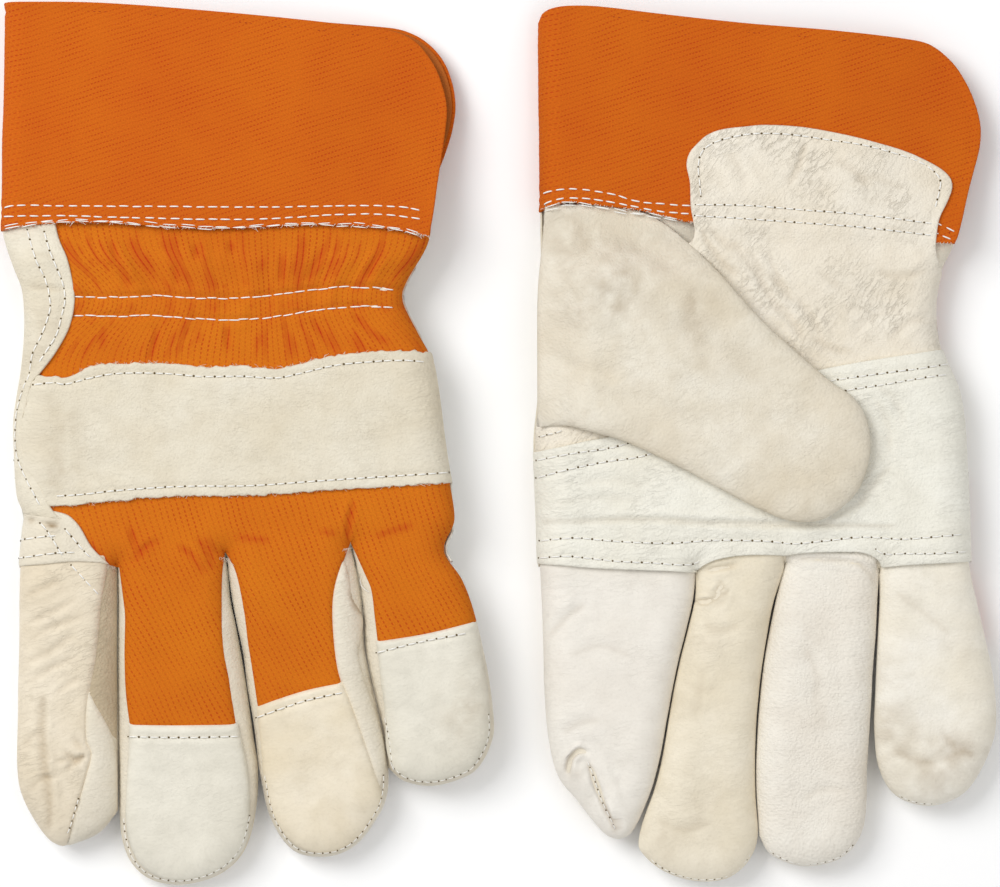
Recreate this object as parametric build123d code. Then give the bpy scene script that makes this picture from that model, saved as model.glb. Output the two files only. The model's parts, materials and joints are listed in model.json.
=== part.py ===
"""A pair of leather and cotton work gloves, lying flat side by side.

Units are millimetres, +Z is up and the pair stands on Z = 0. Fingers point along -Y and cuffs along +Y.
The left glove lies on its palm, with its thumb folded under it. The right glove lies on its back, with its
thumb folded over its palm. Each glove is cut from separate panels: a C-shaped cuff strip with a pasted lining,
a cotton back panel with an elastic tape and a leather knuckle strap, a leather palm with a lining and a
reinforcing patch, four fingers with side walls, three fingertip caps, and a thumb.

Depth through a glove is given as w, the distance from the outer face of its back towards its palm.
"""

from build123d import *
import os
from dataclasses import dataclass

# ---- sheet thicknesses ----
LEATHER = 1.3
COTTON = 0.9
LINING = 0.8
ELASTIC = 1.0
SEAM_GAP = 0.1  # clear space between two sheets that lie on each other

# ---- depth w of each sheet's outer face, from the back towards the palm ----
STRAP_W = 0.0
BACK_W = STRAP_W + LEATHER + SEAM_GAP
ELASTIC_W = BACK_W + COTTON + SEAM_GAP
PALM_LINING_W = 12.1
PALM_W = PALM_LINING_W + LINING + SEAM_GAP
PALM_OUTER_W = PALM_W + LEATHER
PATCH_W = PALM_OUTER_W + SEAM_GAP
THUMB_INNER_W = PATCH_W + LEATHER + 0.4
THUMB_DEPTH = 7.6
THUMB_OUTER_W = THUMB_INNER_W + THUMB_DEPTH
CUFF_W = 1.9
CUFF_DEPTH = 12.0

# ---- joints ----
WRIST_Y = 64.0
KNUCKLE_GAP = 0.4  # from the knuckle axis to the finger
JOINT_GAP = 0.4  # from the middle joint's axis to the sheets on each side of it

# ---- where each glove lies ----
LEFT_SHIFT_X = -157.4  # from the right glove's thumb outline to the left glove's


@dataclass
class Finger:
    """A straight flat finger: its centre line, its widths along X, and how far along it bends."""

    base: tuple
    tip: tuple
    widths: tuple  # at the knuckle, at the middle joint and where the round end starts
    bend_at: float
    leather_back: bool = False

    def length(self):
        return (Vector(*self.tip) - Vector(*self.base)).length

    def along(self):
        return (Vector(*self.tip) - Vector(*self.base)).normalized()

    def end_at(self):
        return self.length() - self.widths[2] / 2

    def width(self, station):
        base, middle, end = self.widths
        if station <= self.bend_at:
            return base + (middle - base) * station / self.bend_at
        return middle + (end - middle) * (station - self.bend_at) / (self.end_at() - self.bend_at)

    def point(self, station, side=0.0):
        """side is -1 at the left edge, 0 on the centre line and 1 at the right edge."""
        return Vector(*self.base) + self.along() * station + Vector(side * self.width(station) / 2, 0)


@dataclass
class Glove:
    """One glove's outlines, all seen from above, and which way up it lies."""

    name: str
    palm_up: bool
    hand: list
    cuff: list
    cuff_corner: tuple
    strap: list
    patch: list
    side_strip: list
    tab: list
    fingers: dict
    thumb_shift: float
    finger_droop: float  # degrees that the fingers hang from the knuckles down to the floor
    cuff_droop: float  # degrees that the cuff hangs from the wrist down to the floor

    def z(self, w):
        return w if self.palm_up else THUMB_OUTER_W - w

    def knuckle_axis(self, finger):
        """The knuckle axes are parallel. A positive turn curls the finger towards the palm."""
        x, y = self.fingers[finger].base
        turn = Vector(-1, 0, 0) if self.palm_up else Vector(1, 0, 0)
        return Axis(Vector(x, y, self.z(PALM_OUTER_W)), turn)

    def middle_axis(self, finger):
        """The finger's second joint, carried down with the drooping finger."""
        f = self.fingers[finger]
        knuckle = self.knuckle_axis(finger)
        at = f.point(f.bend_at)
        pivot = Vertex(at.X, at.Y, self.z(PALM_OUTER_W)).rotate(knuckle, self.finger_droop)
        return Axis(pivot.center(), knuckle.direction)

    def wrist_axis(self):
        """A positive turn bends the cuff towards the palm."""
        turn = Vector(1, 0, 0) if self.palm_up else Vector(-1, 0, 0)
        middle_x = (self.hand[0][0] + self.hand[-1][0]) / 2
        return Axis(Vector(middle_x, WRIST_Y, self.z(CUFF_W + CUFF_DEPTH / 2)), turn)

    def thumb_axis(self):
        """A positive turn swings the thumb off the palm and out to the side."""
        turn = Vector(0, -1, 0) if self.palm_up else Vector(0, 1, 0)
        edge_x = min(x for x, _ in self.hand) - 0.2
        return Axis(Vector(edge_x, 35.0, self.z(PATCH_W + LEATHER + 0.2)), turn)


LEFT = Glove(
    name="left",
    palm_up=False,
    hand=[(-147.0, 61), (-142.5, 44), (-143, 28), (-145, 2), (-143.5, -20), (-144, -38.5),
          (-79.5, -38.5), (-77, -36.5), (-13, -36.5), (-14, -20), (-18, 4), (-24.5, 33), (-28.5, 46), (-22.5, 61)],
    cuff=[(-148.5, 67), (-148.5, 132.5), (-120, 131), (-39, 126.5), (-21, 67)],
    cuff_corner=((-22.0, 118.0), (-14.5, 98.0)),
    strap=[(-138, 18), (-121, 21.5), (-64, 22), (-22, 27), (-16, -11), (-75, -15.5), (-136, -18)],
    patch=[(-143.5, -1), (-24, 27), (-18, 4), (-15, -20), (-15, -35), (-143.5, -37)],
    side_strip=[(-146, 60.5), (-131, 60.5), (-127.5, 44), (-129, 32), (-139, 17), (-142.5, 0),
                (-144.6, 2), (-142.8, 28), (-142.2, 44)],
    tab=[(-102, 67), (-103, 92), (-94, 96.5), (-66, 95), (-36, 89), (-27, 77), (-28, 67)],
    fingers={
        "index": Finger((-130.5, -42), (-130.5, -121), (27, 28, 27), 34, leather_back=True),
        "middle": Finger((-97, -42), (-94, -133), (34.5, 36, 36.5), 41.5),
        "ring": Finger((-61, -40), (-51, -124), (33, 34, 34), 36),
        "little": Finger((-27, -40), (-17.5, -103), (30, 31, 30), 23.5),
    },
    thumb_shift=LEFT_SHIFT_X,
    finger_droop=5.8,
    cuff_droop=8.1,
)

RIGHT = Glove(
    name="right",
    palm_up=True,
    hand=[(13.0, 61), (13.5, 31), (11, 2), (12.3, -38.5), (141.5, -38.5), (140, -8), (139, 13), (132.5, 28),
          (131, 43), (136.0, 61)],
    cuff=[(13.2, 67), (13.2, 130.5), (28.5, 131.5), (126, 121), (138, 67)],
    cuff_corner=((140.0, 113.0), (145.0, 99.0)),
    strap=[(19.5, 18.5), (36, 21.5), (93, 22), (131, 27), (138, -11), (80, -15.5), (19, -18)],
    patch=[(11.5, -1), (133, 27), (138.6, 13), (139.6, -8), (141.2, -34), (12.5, -34)],
    side_strip=[(14.2, 60.5), (26, 60.5), (29.5, 44), (28, 32), (18.5, 17.5), (13.5, 2), (12, 2), (14.4, 31)],
    tab=[(57, 67), (56.5, 88), (61, 94), (82, 95), (114, 91.5), (132, 83), (133.5, 67)],
    fingers={
        "index": Finger((34.5, -44), (32.5, -118), (43, 35, 25.5), 34, leather_back=True),
        "middle": Finger((71, -44), (59.5, -131), (25.5, 24.5, 33), 40),
        "ring": Finger((99, -42), (94, -127), (26.5, 31, 29), 36),
        "little": Finger((128.5, -44), (131.5, -109), (28, 33, 33), 24),
    },
    thumb_shift=0.0,
    finger_droop=-0.6,
    cuff_droop=-1.5,
)

THUMB = [(14, 61), (50, 61), (59, 54), (77, 35.5), (93, 20.5), (105, 12)]
THUMB_TIP = ((109.5, -7.0), (96, -23))
THUMB_LOWER = [(81, -19.4), (54, -5.5), (21.6, 4.6), (14, 5)]
THUMB_HOLE = (30.0, 37.0, 20.0, 26.0)  # centre x, centre y, width and height in the right glove
ELASTIC_Y = (37.0, 51.0)


def polygon(points):
    return make_face(Polyline(*points, close=True))


def slab(glove, face, w0, w1):
    """The face given depth, from w0 to w1 through the glove."""
    low, high = sorted((glove.z(w0), glove.z(w1)))
    return Pos(0, 0, low) * extrude(face, high - low)


def inset(face, by):
    return offset(face, amount=-by, kind=Kind.ARC)


# ---- cuff ----


def cuff_face(glove, shrink=0.0):
    """The cuff strip folded in two: square at the fold, with one rounded corner at the open side."""
    points = [Vector(*p) for p in glove.cuff]
    mid, end = (Vector(*p) for p in glove.cuff_corner)
    outline = Polyline(*points[:4]) + ThreePointArc(points[3], mid, end)
    outline += Polyline(end, points[4], points[0])
    face = make_face(outline)
    return inset(face, shrink) if shrink else face


def c_strip(glove, shrink, w0, w1, sheet):
    """Two flat halves and the fold that joins them, open at the other three sides."""
    face = cuff_face(glove, shrink)
    box = face.bounding_box()
    fold_x = max(glove.cuff[0][0], glove.cuff[1][0]) + shrink + sheet
    hollow = Pos((fold_x + box.max.X + 10) / 2, (box.min.Y + box.max.Y) / 2) * Rectangle(
        box.max.X + 10 - fold_x, box.max.Y - box.min.Y + 20
    )
    return slab(glove, face, w0, w1) - slab(glove, hollow, w0 + sheet, w1 - sheet)


def cuff_parts(glove):
    w0, w1 = CUFF_W, CUFF_W + CUFF_DEPTH
    lining_inset = COTTON + SEAM_GAP
    parts = {
        "cuff_outer": c_strip(glove, 0.0, w0, w1, COTTON),
        "cuff_lining": c_strip(glove, lining_inset, w0 + lining_inset, w1 - lining_inset, LINING),
        "palm_tab": slab(glove, polygon(glove.tab), w1 + SEAM_GAP, w1 + SEAM_GAP + LEATHER),
    }
    return {name: part.rotate(glove.wrist_axis(), glove.cuff_droop) for name, part in parts.items()}


# ---- hand ----


def thumb_hole(glove, grow=0.0):
    x, y, width, height = THUMB_HOLE
    return Pos(x + glove.thumb_shift, y) * Ellipse(width / 2 + grow, height / 2 + grow)


def elastic_face(glove):
    """A straight tape inside the wrist, between the side walls."""
    low, high = ELASTIC_Y
    left = max(x for x, y in glove.hand[:5] if y > 0) + LEATHER + 1.2
    right = min(x for x, y in glove.hand[5:] if y > 25) - LEATHER - 1.2
    return Pos((left + right) / 2, (low + high) / 2) * Rectangle(right - left, high - low)


def hand_parts(glove):
    outline = polygon(glove.hand)
    inner = inset(outline, LEATHER)
    mouth = Pos(sum(x for x, _ in glove.hand) / len(glove.hand), 61) * Rectangle(
        glove.hand[-1][0] - glove.hand[0][0] - 2 * LEATHER - 1, 8
    )
    finger_side = Pos(sum(x for x, _ in glove.hand) / len(glove.hand), -37) * Rectangle(120, 10)
    walls = slab(glove, outline, ELASTIC_W, PALM_W) - slab(glove, inner, ELASTIC_W - 1, PALM_W + 1)
    walls -= slab(glove, mouth, ELASTIC_W - 1, PALM_W + 1)
    walls -= slab(glove, finger_side, ELASTIC_W - 1, PALM_W + 1)
    hole = thumb_hole(glove)
    palm = slab(glove, outline - hole, PALM_W, PALM_OUTER_W) + walls
    lining = slab(glove, inset(outline, LEATHER + 0.3) - thumb_hole(glove, 0.5), PALM_LINING_W, PALM_W - SEAM_GAP)
    patch = slab(glove, polygon(glove.patch), PATCH_W, PATCH_W + LEATHER)
    patch -= slab(glove, thumb_hole(glove, 1.0), PATCH_W - 1, PATCH_W + LEATHER + 1)
    back_panel = slab(glove, outline, BACK_W, BACK_W + COTTON)
    return {
        "palm_panel": palm,
        "palm_lining": lining,
        "palm_patch": patch,
        "back_panel": back_panel,
        "wrist_elastic": slab(glove, elastic_face(glove), ELASTIC_W, ELASTIC_W + ELASTIC),
        "knuckle_strap": slab(glove, polygon(glove.strap), STRAP_W, STRAP_W + LEATHER),
        "side_strip": slab(glove, polygon(glove.side_strip), STRAP_W, STRAP_W + LEATHER),
    }


# ---- fingers ----


def stretch_face(finger, start, stop, side_inset=0.0):
    """The flat four-sided stretch of a finger between two stations."""
    shrink = Vector(side_inset, 0)
    corners = [finger.point(start, -1) + shrink, finger.point(stop, -1) + shrink,
               finger.point(stop, 1) - shrink, finger.point(start, 1) - shrink]
    return polygon(corners)


def end_face(finger, start):
    """The finger from a station to its round end."""
    stop = finger.end_at()
    left, right = finger.point(stop, -1), finger.point(stop, 1)
    tip = Vector(*finger.tip)
    outline = Polyline(right, finger.point(start, 1), finger.point(start, -1), left) + ThreePointArc(left, tip, right)
    return make_face(outline)


def finger_base(glove, finger):
    start, stop = KNUCKLE_GAP, finger.bend_at - JOINT_GAP
    whole = stretch_face(finger, start, stop)
    middle = stretch_face(finger, start - 1, stop + 1, LEATHER)
    front = slab(glove, whole, PALM_W, PALM_OUTER_W)
    walls = slab(glove, whole, ELASTIC_W, PALM_W) - slab(glove, middle, ELASTIC_W - 1, PALM_W + 1)
    back_sheet = LEATHER if finger.leather_back else COTTON
    back = slab(glove, whole, ELASTIC_W - SEAM_GAP - back_sheet, ELASTIC_W - SEAM_GAP)
    return Compound(children=[front, *walls.solids()]), back


def finger_tip(glove, finger):
    start = finger.bend_at + JOINT_GAP
    whole = end_face(finger, start)
    hollow = inset(end_face(finger, start - 2 * LEATHER - 1), LEATHER)
    front = slab(glove, whole, PALM_W, PALM_OUTER_W)
    wall = slab(glove, whole, ELASTIC_W, PALM_W) - slab(glove, hollow, ELASTIC_W - 1, PALM_W + 1)
    back = slab(glove, whole, ELASTIC_W - SEAM_GAP - LEATHER, ELASTIC_W - SEAM_GAP)
    return Compound(children=[front, *wall.solids()]), back


def finger_parts(glove):
    parts = {}
    for name, finger in glove.fingers.items():
        front_base, back_base = finger_base(glove, finger)
        front_tip, back_tip = finger_tip(glove, finger)
        cap = f"{name}_back_tip" if finger.leather_back else f"{name}_tip_cap"
        made = {
            f"{name}_front_base": front_base,
            f"{name}_back_base": back_base,
            f"{name}_front_tip": front_tip,
            cap: back_tip,
        }
        axis = glove.knuckle_axis(name)
        parts.update({node: part.rotate(axis, glove.finger_droop) for node, part in made.items()})
    return parts


# ---- thumb ----


def thumb_face(glove):
    upper = [Vector(x, y) for x, y in THUMB]
    lower = [Vector(x, y) for x, y in THUMB_LOWER]
    mid, end = (Vector(*p) for p in THUMB_TIP)
    outline = Polyline(*upper) + ThreePointArc(upper[-1], mid, end) + Polyline(end, *lower, upper[0])
    return Pos(glove.thumb_shift, 0) * make_face(outline)


def thumb_parts(glove):
    """The outer leather is a shallow tray over the flat inner leather."""
    face = thumb_face(glove)
    inner = slab(glove, face - thumb_hole(glove, 1.0), THUMB_INNER_W, THUMB_INNER_W + LEATHER)
    start = THUMB_INNER_W + LEATHER + SEAM_GAP
    outer = slab(glove, face, start, THUMB_OUTER_W)
    outer -= slab(glove, inset(face, LEATHER), start - 1, THUMB_OUTER_W - LEATHER)
    return {"thumb_inner": inner, "thumb_outer": outer}


def all_parts():
    parts = {}
    for glove in (LEFT, RIGHT):
        for group in (cuff_parts, hand_parts, finger_parts, thumb_parts):
            parts.update({f"{glove.name}_{name}": part for name, part in group(glove).items()})
    return parts


os.makedirs("parts", exist_ok=True)
for node, solid in all_parts().items():
    export_step(solid, f"parts/{node}.step")
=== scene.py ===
"""A pair of leather and cotton work gloves: the sewn panels, their stitches and frayed edges, and the studio.

Every size here is in millimetres, and becomes metres when a mesh is made. Only the studio's are in metres.
Each glove is one flat hollow form, drawn as a plan outline with rounded sides. Panels, stitches and
fibres are laid on a form's surface.
"""

import json
import math

import bmesh
import bpy
import numpy as np
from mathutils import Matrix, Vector
from mathutils.geometry import delaunay_2d_cdt


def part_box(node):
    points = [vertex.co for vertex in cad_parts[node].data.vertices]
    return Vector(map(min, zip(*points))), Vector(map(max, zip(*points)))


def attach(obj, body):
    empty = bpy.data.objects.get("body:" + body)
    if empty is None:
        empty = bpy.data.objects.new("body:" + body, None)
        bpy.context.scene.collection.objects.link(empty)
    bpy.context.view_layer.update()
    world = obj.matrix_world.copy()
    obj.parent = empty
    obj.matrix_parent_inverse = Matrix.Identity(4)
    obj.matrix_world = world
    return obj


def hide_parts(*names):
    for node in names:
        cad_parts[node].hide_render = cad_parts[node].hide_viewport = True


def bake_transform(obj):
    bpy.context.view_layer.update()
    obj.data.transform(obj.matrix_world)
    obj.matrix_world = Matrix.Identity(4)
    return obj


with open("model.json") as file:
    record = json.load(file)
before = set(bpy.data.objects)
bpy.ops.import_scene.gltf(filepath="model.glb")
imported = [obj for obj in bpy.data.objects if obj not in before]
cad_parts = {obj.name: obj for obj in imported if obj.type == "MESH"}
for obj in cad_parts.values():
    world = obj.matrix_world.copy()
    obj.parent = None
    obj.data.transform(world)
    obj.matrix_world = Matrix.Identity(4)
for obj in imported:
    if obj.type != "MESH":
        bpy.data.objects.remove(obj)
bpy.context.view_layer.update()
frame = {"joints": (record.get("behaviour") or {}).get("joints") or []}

MM = 0.001
ROW_STEP = 0.8  # between the points of a stitched row
UV_SCALE = 0.01  # UV units per millimetre, so that a material's pattern has a real size
PI = math.pi

# ------------------------------------------------------------------ where things are, from the frame


def box_mm(node):
    low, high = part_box(node)
    return np.array(low) / MM, np.array(high) / MM


def joint(name):
    return next(j for j in frame["joints"] if j["name"] == name)


def joint_mm(name):
    return np.array(joint(name)["pos_m"]) / MM


FINGERS = ("index", "middle", "ring", "little")
LEFT_DROOP = math.tan(math.radians(5.8))  # how steeply the left fingers come down to the table
RIGHT_DROOP = math.tan(math.radians(0.6))
LEFT_CUFF_DROOP = math.tan(math.radians(8.1))
RIGHT_CUFF_DROOP = math.tan(math.radians(1.5))

# ------------------------------------------------------------------ small maths


def smooth(t):
    t = np.clip(t, 0.0, 1.0)
    return t * t * (3 - 2 * t)


def noise(x, y, size, seed):
    """Smooth random numbers from -1 to 1, with bumps about size across."""
    table = np.random.RandomState(seed).uniform(-1, 1, (64, 64))
    u, v = np.asarray(x) / size, np.asarray(y) / size
    i, j = np.floor(u).astype(int), np.floor(v).astype(int)
    f, g = smooth(u - i), smooth(v - j)
    a = table[i % 64, j % 64] * (1 - f) + table[(i + 1) % 64, j % 64] * f
    b = table[i % 64, (j + 1) % 64] * (1 - f) + table[(i + 1) % 64, (j + 1) % 64] * f
    return a * (1 - g) + b * g


def spline(points, step, closed=False):
    """A smooth line through the points, with its own points about step apart.

    A point with a third value is a sharp corner."""
    pts = [np.array(p[:2], float) for p in points]
    sharp = [len(p) > 2 for p in points]
    n = len(pts)

    def tangent(i):
        if not closed and i in (0, n - 1):
            return None
        a, b, c = pts[i - 1], pts[i], pts[(i + 1) % n]
        return (c - a) / (np.linalg.norm(b - a) + np.linalg.norm(c - b))

    out = []
    for i in range(n if closed else n - 1):
        j = (i + 1) % n
        a, b = pts[i], pts[j]
        length = np.linalg.norm(b - a)
        straight = (b - a) / length
        ta = straight if sharp[i] or tangent(i) is None else tangent(i)
        tb = straight if sharp[j] or tangent(j) is None else tangent(j)
        count = max(1, round(length / step))
        for t in np.arange(count) / count:
            h = np.array([2 * t**3 - 3 * t**2 + 1, t**3 - 2 * t**2 + t, 3 * t**2 - 2 * t**3, t**3 - t**2])
            out.append(h[0] * a + h[1] * length * ta + h[2] * b + h[3] * length * tb)
    if not closed:
        out.append(pts[-1])
    return np.array(out)


def nearest(points, line, closed=True):
    """For each point: how far the line is, where on it, and on which of its segments."""
    a = line if closed else line[:-1]
    b = np.roll(line, -1, 0) if closed else line[1:]
    d = b - a
    size = np.maximum((d**2).sum(1), 1e-12)
    which = np.empty(len(points), int)
    for s in range(0, len(points), 2000):
        p = points[s:s + 2000]
        along = p @ d.T - (a * d).sum(1)
        t = np.clip(along / size, 0, 1)
        gap = (a**2).sum(1) - 2 * p @ a.T - t * (2 * along - t * size)
        which[s:s + 2000] = gap.argmin(1)
    a, d, size = a[which], d[which], size[which]
    t = np.clip(((points - a) * d).sum(1) / size, 0, 1)
    foot = a + t[:, None] * d
    return np.linalg.norm(points - foot, axis=1), foot, which


def inside(points, loop):
    """Which points lie inside the closed loop."""
    x, y = points[:, 0], points[:, 1]
    hit = np.zeros(len(points), bool)
    for (x0, y0), (x1, y1) in zip(loop, np.roll(loop, -1, 0)):
        if y0 == y1:
            continue
        crosses = (y0 > y) != (y1 > y)
        hit ^= crosses & (x < (x1 - x0) * (y - y0) / (y1 - y0) + x0)
    return hit


TRIANGLE_HEIGHT = 0.866  # of an equal-sided triangle, as a share of its side


def fill(loop, step, rings=()):
    """Points and triangles that cover a closed loop. The loop's own points come first.

    rings are the depths of the rows of points that follow the loop inside it."""
    edge = np.roll(loop, -1, 0) - np.roll(loop, 1, 0)
    inward = np.stack([-edge[:, 1], edge[:, 0]], 1) / np.maximum(np.linalg.norm(edge, axis=1), 1e-9)[:, None]
    area = (loop[:, 0] * np.roll(loop[:, 1], -1) - np.roll(loop[:, 0], -1) * loop[:, 1]).sum()
    inward *= np.sign(area)
    extra = [np.empty((0, 2))]
    for depth in rings:
        ring = loop + inward * depth
        ring = ring[inside(ring, loop)]
        extra.append(ring[nearest(ring, loop)[0] > 0.85 * depth])
    low, high = loop.min(0), loop.max(0)
    rows = []
    for k, y in enumerate(np.arange(low[1] + 0.3 * step, high[1], step * TRIANGLE_HEIGHT)):
        x = np.arange(low[0] + (k % 2) * step / 2, high[0], step)
        rows.append(np.stack([x, np.full(len(x), y)], 1))
    grid = np.concatenate(rows)
    grid = grid[inside(grid, loop)]
    clear = (rings[-1] if len(rings) else 0) + 0.55 * step
    grid = grid[nearest(grid, loop)[0] > clear]
    points = np.concatenate([loop, *extra, grid])
    n = len(loop)
    bounds = [(i, (i + 1) % n) for i in range(n)]
    made = delaunay_2d_cdt([Vector(p) for p in points], bounds, [], 1, 1e-5)
    verts = np.array([tuple(v) for v in made[0]])
    tris = np.array([f for f in made[2] if len(f) == 3])
    tris = tris[inside(verts[tris].mean(1), loop)]
    a, b, c = verts[tris[:, 0]], verts[tris[:, 1]], verts[tris[:, 2]]
    turn = (b[:, 0] - a[:, 0]) * (c[:, 1] - a[:, 1]) - (b[:, 1] - a[:, 1]) * (c[:, 0] - a[:, 0])
    tris[turn < 0] = tris[turn < 0][:, ::-1]
    return verts, tris[np.abs(turn) > 1e-7]


def rim(tris):
    """The directed edges that only one triangle uses."""
    edges = {}
    for t in tris:
        for a, b in ((t[0], t[1]), (t[1], t[2]), (t[2], t[0])):
            edges[(a, b)] = True
    return [e for e in edges if (e[1], e[0]) not in edges]


# ------------------------------------------------------------------ surfaces


THICKNESS_SHARE = np.array([0.45, 0.45, 1.0])  # an overlay stands out less sideways than it does upwards
ON_OUTLINE = 0.001  # a point nearer than this to an outline counts as on it


class Form:
    """A flat hollow body with rounded sides. Its domain is its plan, stretched a little near the sides."""

    def __init__(self, outline, middle, half, radius):
        self.outline, self.middle, self.half, self.radius = outline, middle, half, radius
        edge = np.roll(outline, -1, 0) - outline
        turn = np.sign((outline[:, 0] * edge[:, 1] - outline[:, 1] * edge[:, 0]).sum())
        size = np.linalg.norm(edge, axis=1)[:, None]
        self.outward = turn * np.column_stack([edge[:, 1], -edge[:, 0]]) / size

    def unwarp(self, plan):
        """From plan to domain. A point outside the outline goes to the nearest point on it."""
        plan = np.asarray(plan, float)
        far, foot, _ = nearest(plan, self.outline)
        far = np.where(inside(plan, self.outline), far, 0.0)
        inward = (plan - foot) / np.maximum(far, 1e-9)[:, None]
        depth = self.radius * 2 / PI * np.arccos(np.clip(1 - far / self.radius, 0, 1))
        near = (far < self.radius)[:, None]
        return np.where(near, foot + inward * depth[:, None], plan)

    def place(self, domain, side, offset=0.0):
        """Positions and outward normals. side is 1 for the top and -1 for the underside."""
        far, foot, which = nearest(domain, self.outline)
        inward = (domain - foot) / np.maximum(far, 1e-9)[:, None]
        still = far < ON_OUTLINE
        inward[still] = -self.outward[which[still]]
        angle = np.clip(far / self.radius, 0, 1) * PI / 2
        depth = np.where(far < self.radius, self.radius * (1 - np.cos(angle)), far)
        plan = foot + inward * depth[:, None]
        x, y = plan[:, 0], plan[:, 1]
        z = self.middle(x, y) + side * self.half(x, y) * np.sin(angle)
        normal = np.column_stack([-inward * np.cos(angle)[:, None], side * np.sin(angle)])
        return np.column_stack([x, y, z]) + normal * THICKNESS_SHARE * np.reshape(offset, (-1, 1)), normal


class Side:
    """One side of a form."""

    def __init__(self, form, side):
        self.form, self.side = form, side

    def flat(self, plan):
        return self.form.unwarp(plan)

    def place(self, domain, offset=0.0):
        return self.form.place(domain, self.side, offset)


class FoldedStrip:
    """The cuff: a strip folded round a straight edge.

    Its domain's first number is the distance from the fold, positive on the layer that side chooses and
    negative on the other layer."""

    def __init__(self, fold, middle, half, radius, side):
        self.fold, self.middle, self.half, self.radius, self.side = fold, middle, half, radius, side

    def flat(self, plan, layer=1):
        plan = np.asarray(plan, float)
        u = np.maximum(plan[:, 0] - self.fold, 0)
        depth = self.radius * 2 / PI * np.arccos(np.clip(1 - u / self.radius, 0, 1))
        return np.column_stack([layer * np.where(u < self.radius, depth, u), plan[:, 1]])

    def place(self, domain, offset=0.0):
        s, y = np.abs(domain[:, 0]), domain[:, 1]
        side = np.where(domain[:, 0] < 0, -1.0, 1.0) * self.side
        angle = np.clip(s / self.radius, 0, 1) * PI / 2
        x = self.fold + np.where(s < self.radius, self.radius * (1 - np.cos(angle)), s)
        z = self.middle(x, y) + side * self.half(x, y) * np.sin(angle)
        normal = np.column_stack([-np.cos(angle), np.zeros(len(s)), side * np.sin(angle)])
        return np.column_stack([x, y, z]) + normal * np.reshape(offset, (-1, 1)), normal


class Bridge:
    """A sheet that leaves a form's side and climbs onto the cuff, from start to end along Y.

    Its domain is its plan."""

    def __init__(self, form_side, strip, start, end):
        self.form_side, self.strip, self.start, self.end = form_side, strip, start, end
        self.side = form_side.side

    def flat(self, plan):
        return np.asarray(plan, float)

    def place(self, domain, offset=0.0):
        share = smooth((domain[:, 1] - self.start) / (self.end - self.start))[:, None]
        low, n_low = self.form_side.place(self.form_side.flat(domain), offset)
        on_strip = np.where(domain[:, 1] > self.start, domain[:, 1], self.start)
        lift = np.reshape(offset, (-1, 1)) * np.ones((len(domain), 1)) + self.strip.cloth
        high, n_high = self.strip.place(self.strip.flat(np.column_stack([domain[:, 0], on_strip])), lift)
        high[:, 1] = domain[:, 1]
        high[:, 0] = domain[:, 0]
        low[:, 1] = np.where(share[:, 0] > 0, domain[:, 1], low[:, 1])
        low[:, 0] = low[:, 0] * (1 - share[:, 0]) + domain[:, 0] * share[:, 0]
        normal = n_low * (1 - share) + n_high * share
        return low * (1 - share) + high * share, normal / np.linalg.norm(normal, axis=1)[:, None]


# ------------------------------------------------------------------ relief and tone, as functions of the plan


def flat_relief(x, y):
    return np.zeros(len(x))


def soft_folds(seed, size=1.0):
    """Gentle uneven waves, as old leather has."""
    def relief(x, y):
        return size * (0.42 * noise(x, y * 0.8, 16, seed) + 0.22 * noise(x, y, 7, seed + 1)
                       + 0.08 * noise(x, y, 3.2, seed + 2))
    return relief


def distance_to(lines, x, y):
    plan = np.column_stack([x, y])
    return np.min([nearest(plan, line, closed=False)[0] for line in lines], axis=0)


def grooved(relief, lines, depth=0.4, width=0.75):
    """The relief with a groove along each line, where stitches pull the sheet down."""
    if not lines:
        return relief

    def with_grooves(x, y):
        far = distance_to(lines, x, y)
        puff = 0.35 * np.exp(-(((far - 2.4 * width) / (1.5 * width)) ** 2))
        return relief(x, y) + depth * (puff - np.exp(-((far / width) ** 2)))
    return with_grooves


def along(line, plan):
    """How far each point is from a line, and how far its foot is from the line's nearer end."""
    far, foot, _ = nearest(plan, line, closed=False)
    return far, np.minimum(np.linalg.norm(foot - line[0], axis=1), np.linalg.norm(foot - line[-1], axis=1))


def creased(relief, creases):
    """The relief with creases: each is points, depth and width."""
    ready = [(spline(points, 1.0), depth, width) for points, depth, width in creases]

    def with_creases(x, y):
        total = relief(x, y)
        plan = np.column_stack([x, y])
        for line, depth, width in ready:
            far, ends = along(line, plan)
            fade = smooth(0.15 + ends / (0.3 * np.linalg.norm(line[0] - line[-1]) + 1))
            wavy = far / (width * (1 + 0.3 * noise(x, y, 2.6, 77)))
            total = total + depth * fade * (0.45 * np.exp(-((wavy - 1.9) ** 2)) - np.exp(-(wavy ** 2)))
        return total
    return with_creases


def crease_shade(creases, tone=None, strength=0.3):
    """A tone along the bottoms of the creases, over another tone."""
    ready = [(spline(points, 1.0), depth, width) for points, depth, width in creases if depth > 0]

    def shade(x, y):
        total = np.zeros(len(x)) if tone is None else tone(x, y)
        plan = np.column_stack([x, y])
        for line, depth, width in ready:
            far, ends = along(line, plan)
            narrow = 0.8 * min(width, 1.2)
            total = total + strength * min(depth, 2.0) * smooth(ends / 3) * np.exp(-((far / narrow) ** 2))
        return np.clip(total, 0, 1)
    return shade


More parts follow.
